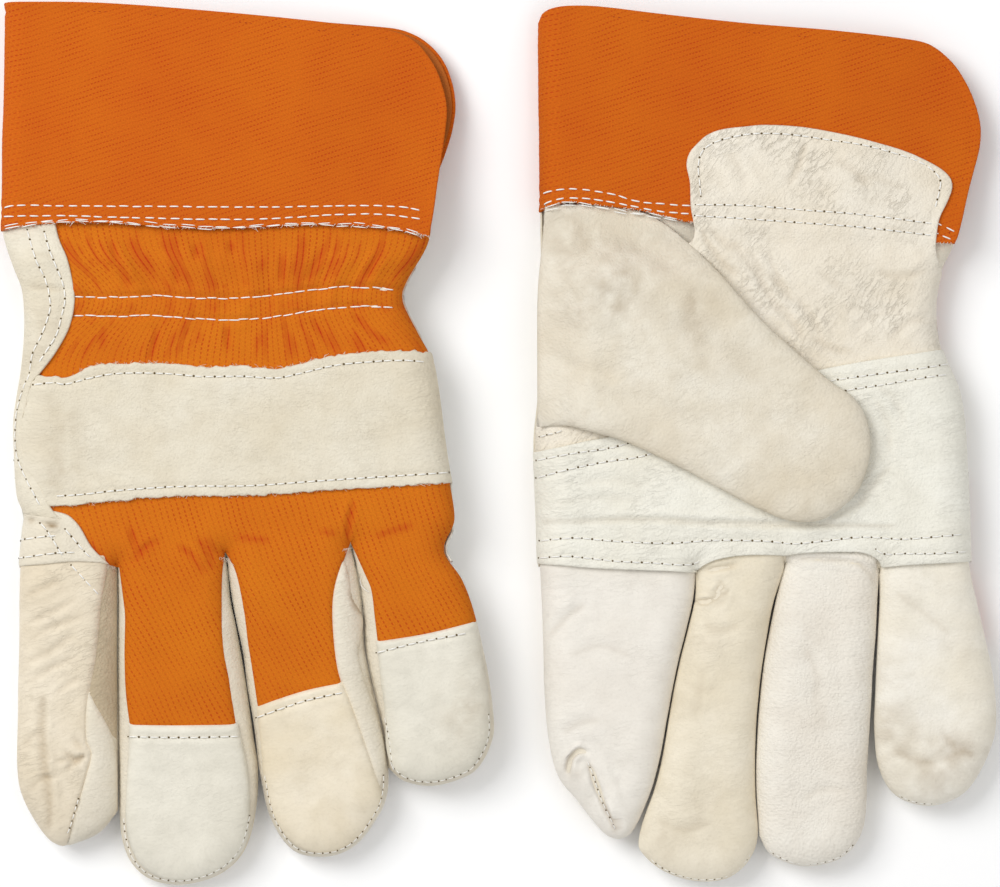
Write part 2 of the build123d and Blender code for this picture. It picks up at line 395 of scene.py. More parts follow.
def marks(lines, width, seed):
    """A tone that runs along the lines and fades at their ends."""
    ready = [spline(points, ROW_STEP) for points in lines]

    def tone(x, y):
        total = np.zeros(len(x))
        plan = np.column_stack([x, y])
        for line in ready:
            far, ends = along(line, plan)
            fade = smooth(0.1 + ends / 4.0)
            total = np.maximum(total, fade * np.exp(-((far / width) ** 2)))
        return total * (0.8 + 0.2 * noise(x, y, 1.5, seed))
    return tone


def stain_and_shade_spots(spots, seed):
    """A tone with soft uneven spots: each is x, y, size and strength. On some pieces the spots are stains, on
    others painted shade.
    """
    def tone(x, y):
        total = np.zeros(len(x))
        for cx, cy, size, strength in spots:
            far = np.hypot(x - cx, y - cy) / size
            ragged = 0.6 + 0.55 * noise(x, y, 4, seed) + 0.35 * noise(x, y, 1.7, seed + 1)
            total += strength * np.exp(-(far ** 2)) * np.clip(ragged, 0, 1)
        return np.clip(total, 0, 1)
    return tone


# ------------------------------------------------------------------ meshes


FLOOR_EASE = 0.5  # below this height a mesh flattens out, and stays above the floor
UNDER_CHART = (370, 130)  # how far the UV points of a skin's underside lie from those of its top


class Mesh:
    """Vertices, faces, a UV point for each vertex and a tone for each vertex, before it becomes an object."""

    def __init__(self, verts, faces, uv, tone=None):
        eased = FLOOR_EASE * np.exp(np.minimum(verts[:, 2] / FLOOR_EASE - 1, 0))
        self.verts = np.column_stack([verts[:, :2], np.where(verts[:, 2] < FLOOR_EASE, eased, verts[:, 2])])
        self.faces, self.uv = faces, uv
        self.tone = np.zeros(len(verts)) if tone is None else tone


def join(meshes):
    verts, faces, uv, tone, start = [], [], [], [], 0
    for m in meshes:
        verts.append(m.verts)
        uv.append(m.uv)
        tone.append(m.tone)
        faces += [[i + start for i in f] for f in m.faces]
        start += len(m.verts)
    return Mesh(np.concatenate(verts), faces, np.concatenate(uv), np.concatenate(tone))


def shell(form, step, relief_top, relief_under, tone_top=None, depth=0.0, end=72.0, sunk=0.0):
    """A form's whole skin, open past the Y called end. The top and the underside share the outline's points.

    depth is how far all of it lies inside the form, and sunk is how much further its middle does."""
    flat, tris = fill(form.outline, step)
    far = nearest(flat, form.outline)[0]
    on_rim = far < ON_OUTLINE
    share = smooth(far / 5.0)
    top, _ = form.place(flat, 1)
    inset = depth + sunk * smooth((far - 10) / 3)
    bump = relief_top(top[:, 0], top[:, 1]) * share - inset
    tone = np.zeros(len(flat)) if tone_top is None else tone_top(top[:, 0], top[:, 1])
    top, _ = form.place(flat, 1, bump)
    low, _ = form.place(flat, -1)
    low, _ = form.place(flat, -1, relief_under(low[:, 0], low[:, 1]) * share - inset)
    tris = tris[flat[tris, 1].mean(1) < end]
    under = np.arange(len(flat))
    under[~on_rim] = len(flat) + np.arange((~on_rim).sum())
    faces = tris.tolist() + under[tris[:, ::-1]].tolist()
    uv = np.concatenate([flat, flat[~on_rim] + UNDER_CHART]) * UV_SCALE
    verts = np.concatenate([top, low[~on_rim]])
    tones = np.concatenate([tone, tone[~on_rim] * 0])
    used = np.unique(np.array(faces))
    place = np.zeros(len(verts), int)
    place[used] = np.arange(len(used))
    return Mesh(verts[used], place[np.array(faces)].tolist(), uv[used], tones[used])


RAW = "raw"  # a cut edge, which keeps its thickness
TURNED = "turned"  # an edge that dips into a seam
RAW_ROUND = 0.35  # how far in a raw edge is rounded
TURNED_ROUND = 2.0  # how far in a turned edge is rounded


def loop_on(surface, points, step):
    """A closed loop in the surface's domain, through points of the plan."""
    return clean(surface.flat(spline(points, step, closed=True)))


def clean(loop):
    """The loop without points that repeat the one before."""
    keep = np.linalg.norm(loop - np.roll(loop, 1, 0), axis=1) > 0.05
    return loop[keep]


def panel(surface, loop, step, thick, edge=RAW, relief=flat_relief, lift=0.0, sink=0.25, tone=None, uv=None):
    """A sheet on a surface, over the closed loop in the surface's domain.

    Its underside lies lift above the surface less sink, and its top lift, thick and relief above it."""
    rings = (RAW_ROUND,) if edge == RAW else (0.45, 1.2)
    flat, tris = fill(loop, step, rings)
    far = nearest(flat, loop)[0]
    if edge == RAW:
        rise = thick * (0.72 + 0.28 * smooth(far / RAW_ROUND))
    else:
        bow = np.sqrt(np.clip(1 - (1 - np.clip(far / TURNED_ROUND, 0, 1)) ** 2, 0, 1))
        rise = thick * (1.25 * bow - 0.25)
    spot, _ = surface.place(flat)
    x, y = spot[:, 0], spot[:, 1]
    rise = rise + relief(x, y) * (0.3 + 0.7 * smooth(far / 3))
    top, _ = surface.place(flat, lift + rise)
    low, _ = surface.place(flat, lift - sink)
    n = len(flat)
    if surface.side < 0:
        tris = tris[:, ::-1]
    faces = tris.tolist() + (tris[:, ::-1] + n).tolist()
    faces += [[a, n + a, n + b, b] for a, b in rim(tris.tolist())]
    shade = None if tone is None else np.tile(tone(x, y), 2)
    chart = flat if uv is None else np.column_stack(uv(x, y))
    return Mesh(np.concatenate([top, low]), faces, np.tile(chart, (2, 1)) * UV_SCALE, shade)


def unit(v):
    return v / np.maximum(np.linalg.norm(v, axis=-1), 1e-9)[..., None]


def tubes(paths, ups, radii, sides=5, squash=0.8):
    """Many small tubes. paths and ups are (tube, ring, 3) and radii is (tube, ring)."""
    count, rings = radii.shape
    along = unit(np.gradient(paths, axis=1))
    across = unit(np.cross(along, ups))
    up = np.cross(across, along)
    turn = 2 * PI * np.arange(sides) / sides
    ring = across[:, :, None] * np.cos(turn)[:, None] + up[:, :, None] * (squash * np.sin(turn))[:, None]
    verts = (paths[:, :, None] + ring * radii[:, :, None, None]).reshape(-1, 3)
    first = (np.arange(count) * rings * sides)[:, None, None] + (np.arange(rings - 1) * sides)[None, :, None]
    a = first + np.arange(sides)
    b = first + (np.arange(sides) + 1) % sides
    wall = np.stack([a, b, b + sides, a + sides], -1).reshape(-1, 4)
    start = np.arange(count)[:, None] * rings * sides + np.arange(sides)
    end = start + (rings - 1) * sides
    fan = [[0, k + 1, k] for k in range(1, sides - 1)]
    caps = [start[:, f] for f in fan] + [end[:, f[::-1]] for f in fan]
    return Mesh(verts, wall.tolist() + np.concatenate(caps).tolist(), verts[:, :2] * UV_SCALE)


def along_line(line, where):
    """Points of a polyline at the distances where along it."""
    walked = np.concatenate([[0], np.cumsum(np.linalg.norm(np.diff(line, axis=0), axis=1))])
    return np.stack([np.interp(where, walked, line[:, i]) for i in (0, 1)], -1)


def length_of(line):
    return np.linalg.norm(np.diff(line, axis=0), axis=1).sum()


STITCH_RINGS = np.array([0, 0.18, 0.5, 0.82, 1.0])  # where one stitch's rings lie, from end to end
STITCH_ARCH = np.array([-0.35, 0.05, 0.2, 0.05, -0.35])  # each ring's height, on a thread of radius 0.25
STITCH_WIDTHS = np.array([0.35, 0.9, 1.0, 0.9, 0.35])  # each ring's radius, as a share of the thread's
STITCH_RISE = 0.32  # how far a row in the leather lies above the sheet


class Thread:
    """How a row of stitches looks."""

    def __init__(self, pitch, share, radius, hole=0.0, wander=0.0):
        self.pitch, self.share, self.radius, self.hole, self.wander = pitch, share, radius, hole, wander


BOLD = Thread(3.8, 0.76, 0.25, wander=0.16)  # the white rows across the orange cuffs
TIGHT = Thread(3.3, 0.97, 0.23, wander=0.35)  # the rows over the elastic
FINE = Thread(3.0, 0.82, 0.25, hole=0.34)  # the rows in the leather
LOOSE = Thread(5.2, 0.80, 0.18, wander=0.7)  # the broken overcast row on a cuff's raw foot
HEM = Thread(1.7, 0.62, 0.11)  # the fine dark line inside a cuff's edge
SMALL = Thread(2.3, 0.72, 0.18, hole=0.27, wander=0.1)  # round the fingertips and along short seams


def stitches(surface, line, thread, lift, seed, relief=flat_relief):
    """A row of stitches along a plan line, and the needle holes between them: dark tubes, as painted shade
    inside the punctures.
    """
    rng = np.random.RandomState(seed)
    count = int(length_of(line) / thread.pitch)
    begin = (np.arange(count) + 0.12 + rng.uniform(-0.06, 0.06, count)) * thread.pitch
    uneven = rng.uniform(0.9, 1.06, count)[:, None]
    where = begin[:, None] + STITCH_RINGS * thread.pitch * thread.share * uneven
    plan = along_line(line, where).reshape(-1, 2)
    drift = rng.uniform(-1, 1, (count, 1, 2)) * thread.wander * 0.5 + np.zeros((1, 5, 1))
    slant = rng.uniform(-1, 1, (count, 1, 2)) * thread.wander * 0.5 * (STITCH_RINGS - 0.5)[None, :, None]
    plan = plan + (drift + slant).reshape(-1, 2)
    arch = np.tile(STITCH_ARCH * thread.radius / 0.25, count)
    spot, up = surface.place(surface.flat(plan), lift + arch + relief(plan[:, 0], plan[:, 1]))
    shape = np.tile(STITCH_WIDTHS * thread.radius, (count, 1))
    made = tubes(spot.reshape(count, 5, 3), up.reshape(count, 5, 3), shape, squash=0.65)
    if not thread.hole:
        return made, None
    plan = along_line(line, np.clip(begin - 0.08 * thread.pitch, 0, None))
    ahead = along_line(line, begin + 0.1 * thread.pitch)
    depth = lift - 0.5 + relief(plan[:, 0], plan[:, 1])
    low, n = surface.place(surface.flat(plan), depth)
    beside, _ = surface.place(surface.flat(ahead), depth)
    high = low + n * 0.42
    middle = low + n * 0.36
    paths = np.stack([low, middle, high], 1)
    wide = np.tile(np.array([0.5, 1.0, 0.45]) * thread.hole, (count, 1)) * rng.uniform(0.75, 1.15, (count, 1))
    return made, tubes(paths, np.repeat(unit(beside - low)[:, None], 3, 1), wide, squash=1.0)


def fray(surface, line, per_mm, reach, lift, seed, outward=1, radius=0.085):
    """Loose fibres along a cut edge. outward is 1 when they point to the right of the line's direction."""
    rng = np.random.RandomState(seed)
    total = length_of(line)
    count = int(total * per_mm)
    where = rng.uniform(0, total - 0.5, count)
    base = along_line(line, where)
    ahead = unit(along_line(line, where + 0.4) - base)
    out = outward * np.column_stack([ahead[:, 1], -ahead[:, 0]])
    lean = rng.normal(0, 0.9, (count, 1))
    aim = unit(out + ahead * lean)
    curl = rng.normal(0, 0.7, (count, 1))
    size = reach * rng.uniform(0.3, 1.0, (count, 1)) ** 1.5
    t = np.linspace(0, 1, 5)
    straight = aim[:, None] * (size * t)[..., None]
    bend = ahead[:, None] * (curl * size * t ** 2)[..., None]
    plan = base[:, None] + straight + bend
    plan = plan - out[:, None] * 0.4
    up = lift + rng.uniform(-0.3, 0.3, (count, 1)) + rng.uniform(-0.3, 0.9, (count, 1)) * size * t * 0.5
    spot, n = surface.place(surface.flat(plan.reshape(-1, 2)), up.reshape(-1))
    shape = np.tile(np.linspace(1, 0.45, 5) * radius, (count, 1))
    return tubes(spot.reshape(count, 5, 3), n.reshape(count, 5, 3), shape, sides=4)


def line_beside(points, distance):
    """The line at this distance to the left of a smooth line through the points."""
    line = spline(points, ROW_STEP)
    ahead = unit(np.gradient(line, axis=0))
    return line + np.column_stack([-ahead[:, 1], ahead[:, 0]]) * distance


def vertex_normals(m):
    """Smooth normals, averaged over each vertex's faces by area."""
    normals = np.zeros_like(m.verts)
    for size in (3, 4):
        f = np.array([x for x in m.faces if len(x) == size])
        if len(f):
            n = np.cross(m.verts[f[:, 1]] - m.verts[f[:, 0]], m.verts[f[:, 2]] - m.verts[f[:, 0]])
            for k in range(size):
                np.add.at(normals, f[:, k], n)
    return normals / np.maximum(np.linalg.norm(normals, axis=1), 1e-12)[:, None]


def to_bmesh(m):
    bm = bmesh.new()
    uv = bm.verts.layers.float_vector.new("uv_point")
    normal = bm.verts.layers.float_vector.new("soft_normal")
    tone = bm.verts.layers.float.new("tone")
    normals = vertex_normals(m)
    made = []
    for i, co in enumerate(m.verts * MM):
        v = bm.verts.new(co)
        v[uv] = (m.uv[i][0], m.uv[i][1], 0)
        v[normal] = normals[i]
        v[tone] = m.tone[i]
        made.append(v)
    for f in m.faces:
        try:
            bm.faces.new([made[i] for i in f])
        except ValueError:  # that face is there already
            pass
    return bm


def cut(bm, y, keep_above):
    """The part of a bmesh on one side of the plane at that Y, in millimetres."""
    part = bm.copy()
    geometry = part.verts[:] + part.edges[:] + part.faces[:]
    bmesh.ops.bisect_plane(part, geom=geometry, dist=1e-7, plane_co=(0, y * MM, 0), plane_no=(0, 1, 0),
                           clear_inner=keep_above, clear_outer=not keep_above)
    return part


def beside(divider, y):
    """X of the line between two fingers at this Y. The line is listed from the crotch to the tips."""
    points = np.array(divider)[::-1]
    return np.interp(y, points[:, 1], points[:, 0])


def keep_columns(bm, dividers):
    """Only the connected parts whose middle lies between two lines: either one may be None."""
    part = bm.copy()
    part.verts.ensure_lookup_table()
    seen, doomed = set(), []
    for v in part.verts:
        if v in seen:
            continue
        island, stack = [], [v]
        seen.add(v)
        while stack:
            w = stack.pop()
            island.append(w)
            for e in w.link_edges:
                o = e.other_vert(w)
                if o not in seen:
                    seen.add(o)
                    stack.append(o)
        x = sum(w.co.x for w in island) / len(island) / MM
        y = sum(w.co.y for w in island) / len(island) / MM
        low, high = dividers
        if (low and x < beside(low, y)) or (high and x >= beside(high, y)):
            doomed += island
    bmesh.ops.delete(part, geom=doomed, context="VERTS")
    return part


def to_object(bm, name, material):
    """Makes the object, or gives None if nothing is left of the mesh."""
    if not bm.faces:
        bm.free()
        return None
    mesh = bpy.data.meshes.new(name)
    source = bm.verts.layers.float_vector["uv_point"]
    uv = bm.loops.layers.uv.new("UVMap")
    for face in bm.faces:
        face.smooth = True
        for loop in face.loops:
            loop[uv].uv = loop.vert[source][:2]
    layer = bm.verts.layers.float_vector["soft_normal"]
    normals = [Vector(v[layer]).normalized() for v in bm.verts]
    bm.to_mesh(mesh)
    bm.free()
    mesh.normals_split_custom_set_from_vertices(normals)
    for spare in ("uv_point", "soft_normal"):
        mesh.attributes.remove(mesh.attributes[spare])
    mesh.materials.append(material)
    obj = bpy.data.objects.new(name, mesh)
    bpy.context.scene.collection.objects.link(obj)
    return obj


# ------------------------------------------------------------------ binding to the bodies


FINGER_BEND = 9  # how far a bend reaches past its joint


class Glove:
    """What binding needs to know about one glove."""

    def __init__(self, name, hand_cut, dividers):
        self.name = name
        self.hand_cut = hand_cut  # Y below which the fingers are apart
        self.dividers = (None, *dividers, None)  # the lines between fingers, from the crotch down
        self.wrist = joint_mm(f"{name}_wrist_bend")
        self.thumb = joint_mm(f"{name}_thumb_swing")
        self.knuckle = {f: joint_mm(f"{name}_{f}_knuckle") for f in FINGERS}
        self.middle = {f: joint_mm(f"{name}_{f}_middle_joint") for f in FINGERS}

    def base_bent(self, finger):
        """Y at which the knuckle's bend is complete."""
        return self.knuckle[finger][1] - FINGER_BEND

    def tip_start(self, finger):
        """Y at which the middle joint's bend begins."""
        return self.middle[finger][1] + FINGER_BEND

    def base_cut(self, finger):
        """Y between the two bends of a finger, where only its base body moves it."""
        return (self.base_bent(finger) + self.tip_start(finger)) / 2

    def bend_wrist(self, obj):
        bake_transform(obj)

    def bend_thumb(self, obj):
        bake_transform(obj)

    def bend_knuckle(self, obj, finger):
        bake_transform(obj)

    def bend_middle(self, obj, finger):
        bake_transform(obj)


GLOVES = {
    "left": Glove("left", -37.5, (
        [(-114.9, -36.2), (-114.9, -125)],
        [(-82.2, -33), (-77.6, -64), (-75.8, -80), (-73, -98), (-73, -135)],
        [(-44.6, -30.8), (-41.3, -46), (-39.3, -65), (-36, -82), (-33.5, -98), (-33.5, -130)],
    )),
    "right": Glove("right", -39.5, (
        [(58.9, -38.2), (56.4, -56), (53.4, -68), (50.9, -81), (48.8, -93), (46, -104), (42.5, -113),
         (40, -125)],
        [(85.9, -36), (82.5, -48.5), (79.6, -64), (77.8, -79), (77.2, -93), (77.4, -106), (77.8, -135)],
        [(114.1, -38), (114.2, -46), (113.5, -57), (112.8, -70), (112.2, -86), (112.5, -130)],
    )),
}


def finish_piece(nodes=()):
    if nodes:
        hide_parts(*nodes)


def bind(glove, mesh, name, material, replaced=None):
    """Cuts a mesh at the knuckles and between each finger's bends, so that every part crosses one joint.

    replaced says which CAD nodes each part stands for: {"hand": [...], ("index", "base"): [...], ...}."""
    replaced = replaced or {}
    whole = to_bmesh(mesh)
    hand = to_object(cut(whole, glove.hand_cut, True), f"{glove.name}_{name}_hand", material)
    if hand:
        glove.bend_wrist(hand)
        finish_piece(replaced.get("hand", ()))
    fingers = cut(whole, glove.hand_cut, False)
    whole.free()
    for k, finger in enumerate(FINGERS):
        column = keep_columns(fingers, glove.dividers[k:k + 2])
        y = glove.base_cut(finger)
        base = to_object(cut(column, y, True), f"{glove.name}_{finger}_{name}_base", material)
        tip = to_object(cut(column, y, False), f"{glove.name}_{finger}_{name}_tip", material)
        column.free()
        if base:
            glove.bend_knuckle(base, finger)
            finish_piece(replaced.get((finger, "base"), ()))
        if tip:
            glove.bend_middle(tip, finger)
            finish_piece(replaced.get((finger, "tip"), ()))
    fingers.free()


def simple(mesh, name, material, nodes=()):
    """An object that stays in one piece. The caller makes it ride."""
    obj = to_object(to_bmesh(mesh), name, material)
    finish_piece(nodes)
    return obj


# ------------------------------------------------------------------ materials


class Nodes:
    """A short way to write a material."""

    def __init__(self, name):
        self.material = bpy.data.materials.new(name)
        self.material.use_nodes = True
        self.tree = self.material.node_tree
        self.shader = self.tree.nodes["Principled BSDF"]

    def plug(self, socket, value):
        """Links a socket to another one, or sets its constant."""
        if isinstance(value, bpy.types.NodeSocket):
            self.tree.links.new(value, socket)
        else:
            socket.default_value = value

    def add(self, kind, links=None, **settings):
        """Makes a node, and gives its first output. links are its inputs' sockets or constants."""
        node = self.tree.nodes.new(kind)
        for key, value in settings.items():
            setattr(node, key, value)
        for key, value in (links or {}).items():
            self.plug(node.inputs[key], value)
        return node.outputs[0]

    def math(self, operation, a, b=0.0, c=0.0):
        return self.add("ShaderNodeMath", {0: a, 1: b, 2: c}, operation=operation)

    def times(self, a, b):
        return self.math("MULTIPLY", a, b)

    def plus(self, a, b):
        return self.math("ADD", a, b)

    def minus(self, a, b):
        return self.math("SUBTRACT", a, b)

    def off_middle(self, value):
        """How far the value is from 0.5."""
        return self.math("ABSOLUTE", self.minus(value, 0.5))

    def mix(self, share, a, b):
        """Colour a turned into colour b by share."""
        node = self.tree.nodes.new("ShaderNodeMix")
        node.data_type = "RGBA"
        for index, value in ((0, share), (6, a), (7, b)):
            self.plug(node.inputs[index], (*value, 1.0) if isinstance(value, tuple) else value)
        return node.outputs[2]

    def ramp(self, value, low, high):
        """0 below low and 1 above high."""
        return self.add("ShaderNodeMapRange", {0: value, 1: low, 2: high, 3: 0.0, 4: 1.0})

    def noise(self, vector, scale, detail=3.0, rough=0.55):
        return self.add("ShaderNodeTexNoise", {"Vector": vector, "Scale": scale, "Detail": detail,
                                               "Roughness": rough})

    def millimetres(self):
        """The piece's own UV point, in millimetres."""
        uv = self.tree.nodes.new("ShaderNodeUVMap")
        uv.uv_map = "UVMap"
        return self.add("ShaderNodeVectorMath", {0: uv.outputs[0], 1: (1 / UV_SCALE,) * 3},
                        operation="MULTIPLY")

    def tone(self):
        """The mesh's own tone."""
        node = self.tree.nodes.new("ShaderNodeAttribute")
        node.attribute_name = "tone"
        return node.outputs["Fac"]

    def finish(self, color, rough, height, distance, strength, **fixed):
        """Sets the surface, with a bump from height. fixed are the shader's other inputs."""
        bump = self.add("ShaderNodeBump", {"Height": height, "Distance": distance, "Strength": strength})
        surface = {"Base Color": color, "Roughness": rough, "Normal": bump}
        surface.update({key.replace("_", " "): value for key, value in fixed.items()})
        for key, value in surface.items():
            self.plug(self.shader.inputs[key], value)
        return self.material


def drill(name, orange, red, turn, line_pitch, dash_pitch):
    """Orange cotton twill: fine lines of small dark-red dashes."""
    n = Nodes(name)
    mm = n.millimetres()
    wobble = n.add("ShaderNodeVectorMath", {0: n.noise(mm, 0.05, 2.0), 1: (2.4, 2.4, 0.0)},
                   operation="MULTIPLY")
    bent = n.add("ShaderNodeVectorMath", {0: mm, 1: wobble}, operation="ADD")
    turned = n.add("ShaderNodeVectorRotate", {"Vector": bent, "Angle": turn}, rotation_type="Z_AXIS")
    split = n.tree.nodes.new("ShaderNodeSeparateXYZ")
    n.tree.links.new(turned, split.inputs[0])
    u, v = split.outputs[0], split.outputs[1]
    row = n.math("DIVIDE", v, line_pitch)
    shift = n.times(n.math("FLOOR", row), 0.37)
    along = n.math("FRACT", n.plus(n.math("DIVIDE", u, dash_pitch), shift))
    across = n.math("FRACT", row)
    off_line = n.off_middle(across)
    off_dash = n.off_middle(along)
    line = n.minus(1.0, n.ramp(off_line, 0.05, 0.155))
    dash = n.minus(1.0, n.ramp(off_dash, 0.20, 0.34))
    patchy = n.ramp(n.noise(mm, 0.12, 4.0), 0.36, 0.64)
    mark = n.times(n.times(line, dash), n.math("MULTIPLY_ADD", patchy, 0.62, 0.26))
    fibre = n.noise(mm, 2.4, 2.0)
    light = tuple(min(1.0, c * 1.16) for c in orange)
    base = n.mix(n.ramp(fibre, 0.3, 0.7), tuple(c * 0.93 for c in orange), light)
    base = n.mix(n.times(n.ramp(n.noise(mm, 0.03, 2.0), 0.35, 0.7), 0.18), base, red)
    shade = n.mix(n.times(mark, 0.82), base, red)
    # tone reddens the twill lines: partly the lines crowding in folds, partly painted shade along creases and
    # beside leather edges
    streak = n.times(n.tone(), n.math("MULTIPLY_ADD", line, 0.6, 0.5))
    shade = n.mix(streak, shade, red)
    weave = n.minus(n.times(fibre, 0.5), n.times(mark, 0.5))
    weave = n.minus(weave, n.times(line, 0.2))
    return n.finish(shade, 0.9, weave, 0.0002, 0.7, Specular_IOR_Level=0.10)


def leather(name, pale, warm, pebble=0.5, crease=0.5, blotch=0.5, rough=0.62, turn=0.5):
    """Pale grain leather with pores, fine wrinkles along turn and uneven colour. The wrinkles' lines are
    darkened as painted shade. Tone turns it brown: it carries stains and painted shade.
    """
    n = Nodes(name)
    mm = n.millimetres()
    broad = n.ramp(n.noise(mm, 0.035, 4.0), 0.34, 0.72)
    middle = n.ramp(n.noise(mm, 0.16, 4.0), 0.42, 0.75)
    fine = n.noise(mm, 1.1, 3.0)
    color = n.mix(n.times(broad, blotch), pale, warm)
    color = n.mix(n.times(middle, 0.4 * blotch), color, tuple(c * 0.82 for c in warm))
    color = n.mix(n.times(n.ramp(fine, 0.5, 0.75), 0.16), color, tuple(c * 0.7 for c in warm))
    color = n.mix(n.tone(), color, (0.33, 0.235, 0.13))
    cells = n.add("ShaderNodeTexVoronoi", {"Vector": mm, "Scale": 1.35, "Randomness": 1.0})
    pores = n.ramp(cells, 0.0, 0.75)
    stretch = n.add("ShaderNodeMapping", {"Vector": mm, "Rotation": (0, 0, turn), "Scale": (6.0, 2.0, 1.0)},
                    vector_type="TEXTURE")
    lines = n.noise(stretch, 1.0, 4.0, 0.6)
    off_line = n.off_middle(lines)
    patches = n.ramp(n.noise(mm, 0.06, 3.0), 0.42, 0.62)
    wrinkle = n.times(n.minus(1.0, n.ramp(off_line, 0.004, 0.045)), patches)
    # painted shade: the colour darkens along the fine wrinkle lines, as shade in their bottoms
    color = n.mix(n.times(wrinkle, 0.22 * crease), color, tuple(c * 0.7 for c in warm))
    height = n.math("MULTIPLY_ADD", pores, 0.5 * pebble, n.times(lines, 1.2 * crease))
    height = n.plus(height, n.times(fine, 0.45))
    height = n.minus(height, n.times(wrinkle, 0.35 * crease))
    gloss = n.math("MULTIPLY_ADD", n.noise(mm, 0.3, 2.0), 0.22, rough - 0.11)
    return n.finish(color, gloss, height, 0.0003, 0.8, Specular_IOR_Level=0.32, Sheen_Weight=0.06)


def plain(name, color, rough, scale=2.5, distance=0.0001, spread=0.25):
    """Thread, fibres, elastic and lining: one colour, uneven in light and surface."""
    n = Nodes(name)
    mm = n.millimetres()
    grain = n.noise(mm, scale, 3.0)
    shade = n.mix(n.ramp(grain, 0.3, 0.7), tuple(c * (1 - spread) for c in color), color)
    return n.finish(shade, rough, grain, distance, 0.6, Specular_IOR_Level=0.25)


ORANGE = (0.555, 0.119, 0.007)
BACK_ORANGE = (0.60, 0.161, 0.0085)
RED = (0.45, 0.027, 0.006)

MATERIALS = {
    "cuff": drill("orange_drill_cuff", ORANGE, RED, math.radians(-18), 1.5, 1.05),
    "back": drill("orange_drill_back", BACK_ORANGE, RED, math.radians(86), 1.9, 1.3),
    "lining": plain("lining_cotton", (0.52, 0.14, 0.02), 0.9),
    "hand": leather("leather_hand", (0.80, 0.74, 0.62), (0.72, 0.63, 0.47), 0.8),
    "palm": leather("leather_palm", (0.85, 0.79, 0.68), (0.76, 0.66, 0.50), 1.1, 1.6, 0.6, turn=0.85),
    "patch": leather("leather_patch", (0.88, 0.86, 0.77), (0.79, 0.75, 0.63), 1.1, 1.0, 0.6, turn=0.3),
    "thumb": leather("leather_thumb", (0.83, 0.78, 0.67), (0.70, 0.61, 0.46), 0.9, 0.6, 0.9, 0.75),
    "strap": leather("leather_strap", (0.79, 0.735, 0.61), (0.69, 0.60, 0.44), 1.0, 0.6, 0.7, 0.78, 0.1),
    "cap": leather("leather_cap", (0.84, 0.80, 0.69), (0.71, 0.67, 0.56), 0.3, 0.4, 0.8, 0.66),
    "warm_cap": leather("leather_warm_cap", (0.88, 0.80, 0.65), (0.77, 0.66, 0.47), 0.2, 0.3, 0.9, 0.7),
    "index_back": leather("leather_index_back", (0.83, 0.74, 0.59), (0.72, 0.61, 0.44), 0.4, 1.0, 0.7, 0.66,
                          0.45),
    "wall": leather("leather_wall", (0.62, 0.52, 0.37), (0.45, 0.36, 0.23), 1.2, 1.0, 0.8, 0.8, 1.2),
    "index_front": leather("leather_index_front", (0.86, 0.82, 0.745), (0.80, 0.74, 0.65), 0.2, 0.5, 0.6,
                           0.6, 0.2),
    "middle_front": leather("leather_middle_front", (0.86, 0.79, 0.65), (0.76, 0.67, 0.50), 0.5, 0.5, 0.8,
                            turn=0.3),
    "ring_front": leather("leather_ring_front", (0.86, 0.82, 0.735), (0.79, 0.71, 0.60), 1.4, 0.3, 0.6,
                          turn=0.3),
    "little_front": leather("leather_little_front", (0.90, 0.86, 0.77), (0.81, 0.74, 0.60), 0.7, 0.3, 0.9,
                            turn=0.2),
    "thread": plain("cotton_thread", (0.95, 0.93, 0.88), 0.8, spread=0.12),
    "hem": plain("hem_thread", (0.36, 0.035, 0.008), 0.9),
    # painted shade: this dark colour is for the tubes that stand in each needle hole, in place of the shade
    # inside the puncture
    "hole": plain("needle_hole", (0.13, 0.085, 0.03), 0.9),
    "fibre": plain("loose_fibre", (0.90, 0.85, 0.74), 0.9),
    "elastic": plain("elastic_tape", (0.80, 0.78, 0.72), 0.8, 1.2, 0.0002),
    "fleece": plain("fleece_lining", (0.82, 0.79, 0.70), 0.95, 1.5, 0.0004),
}

# ------------------------------------------------------------------ the two hand forms

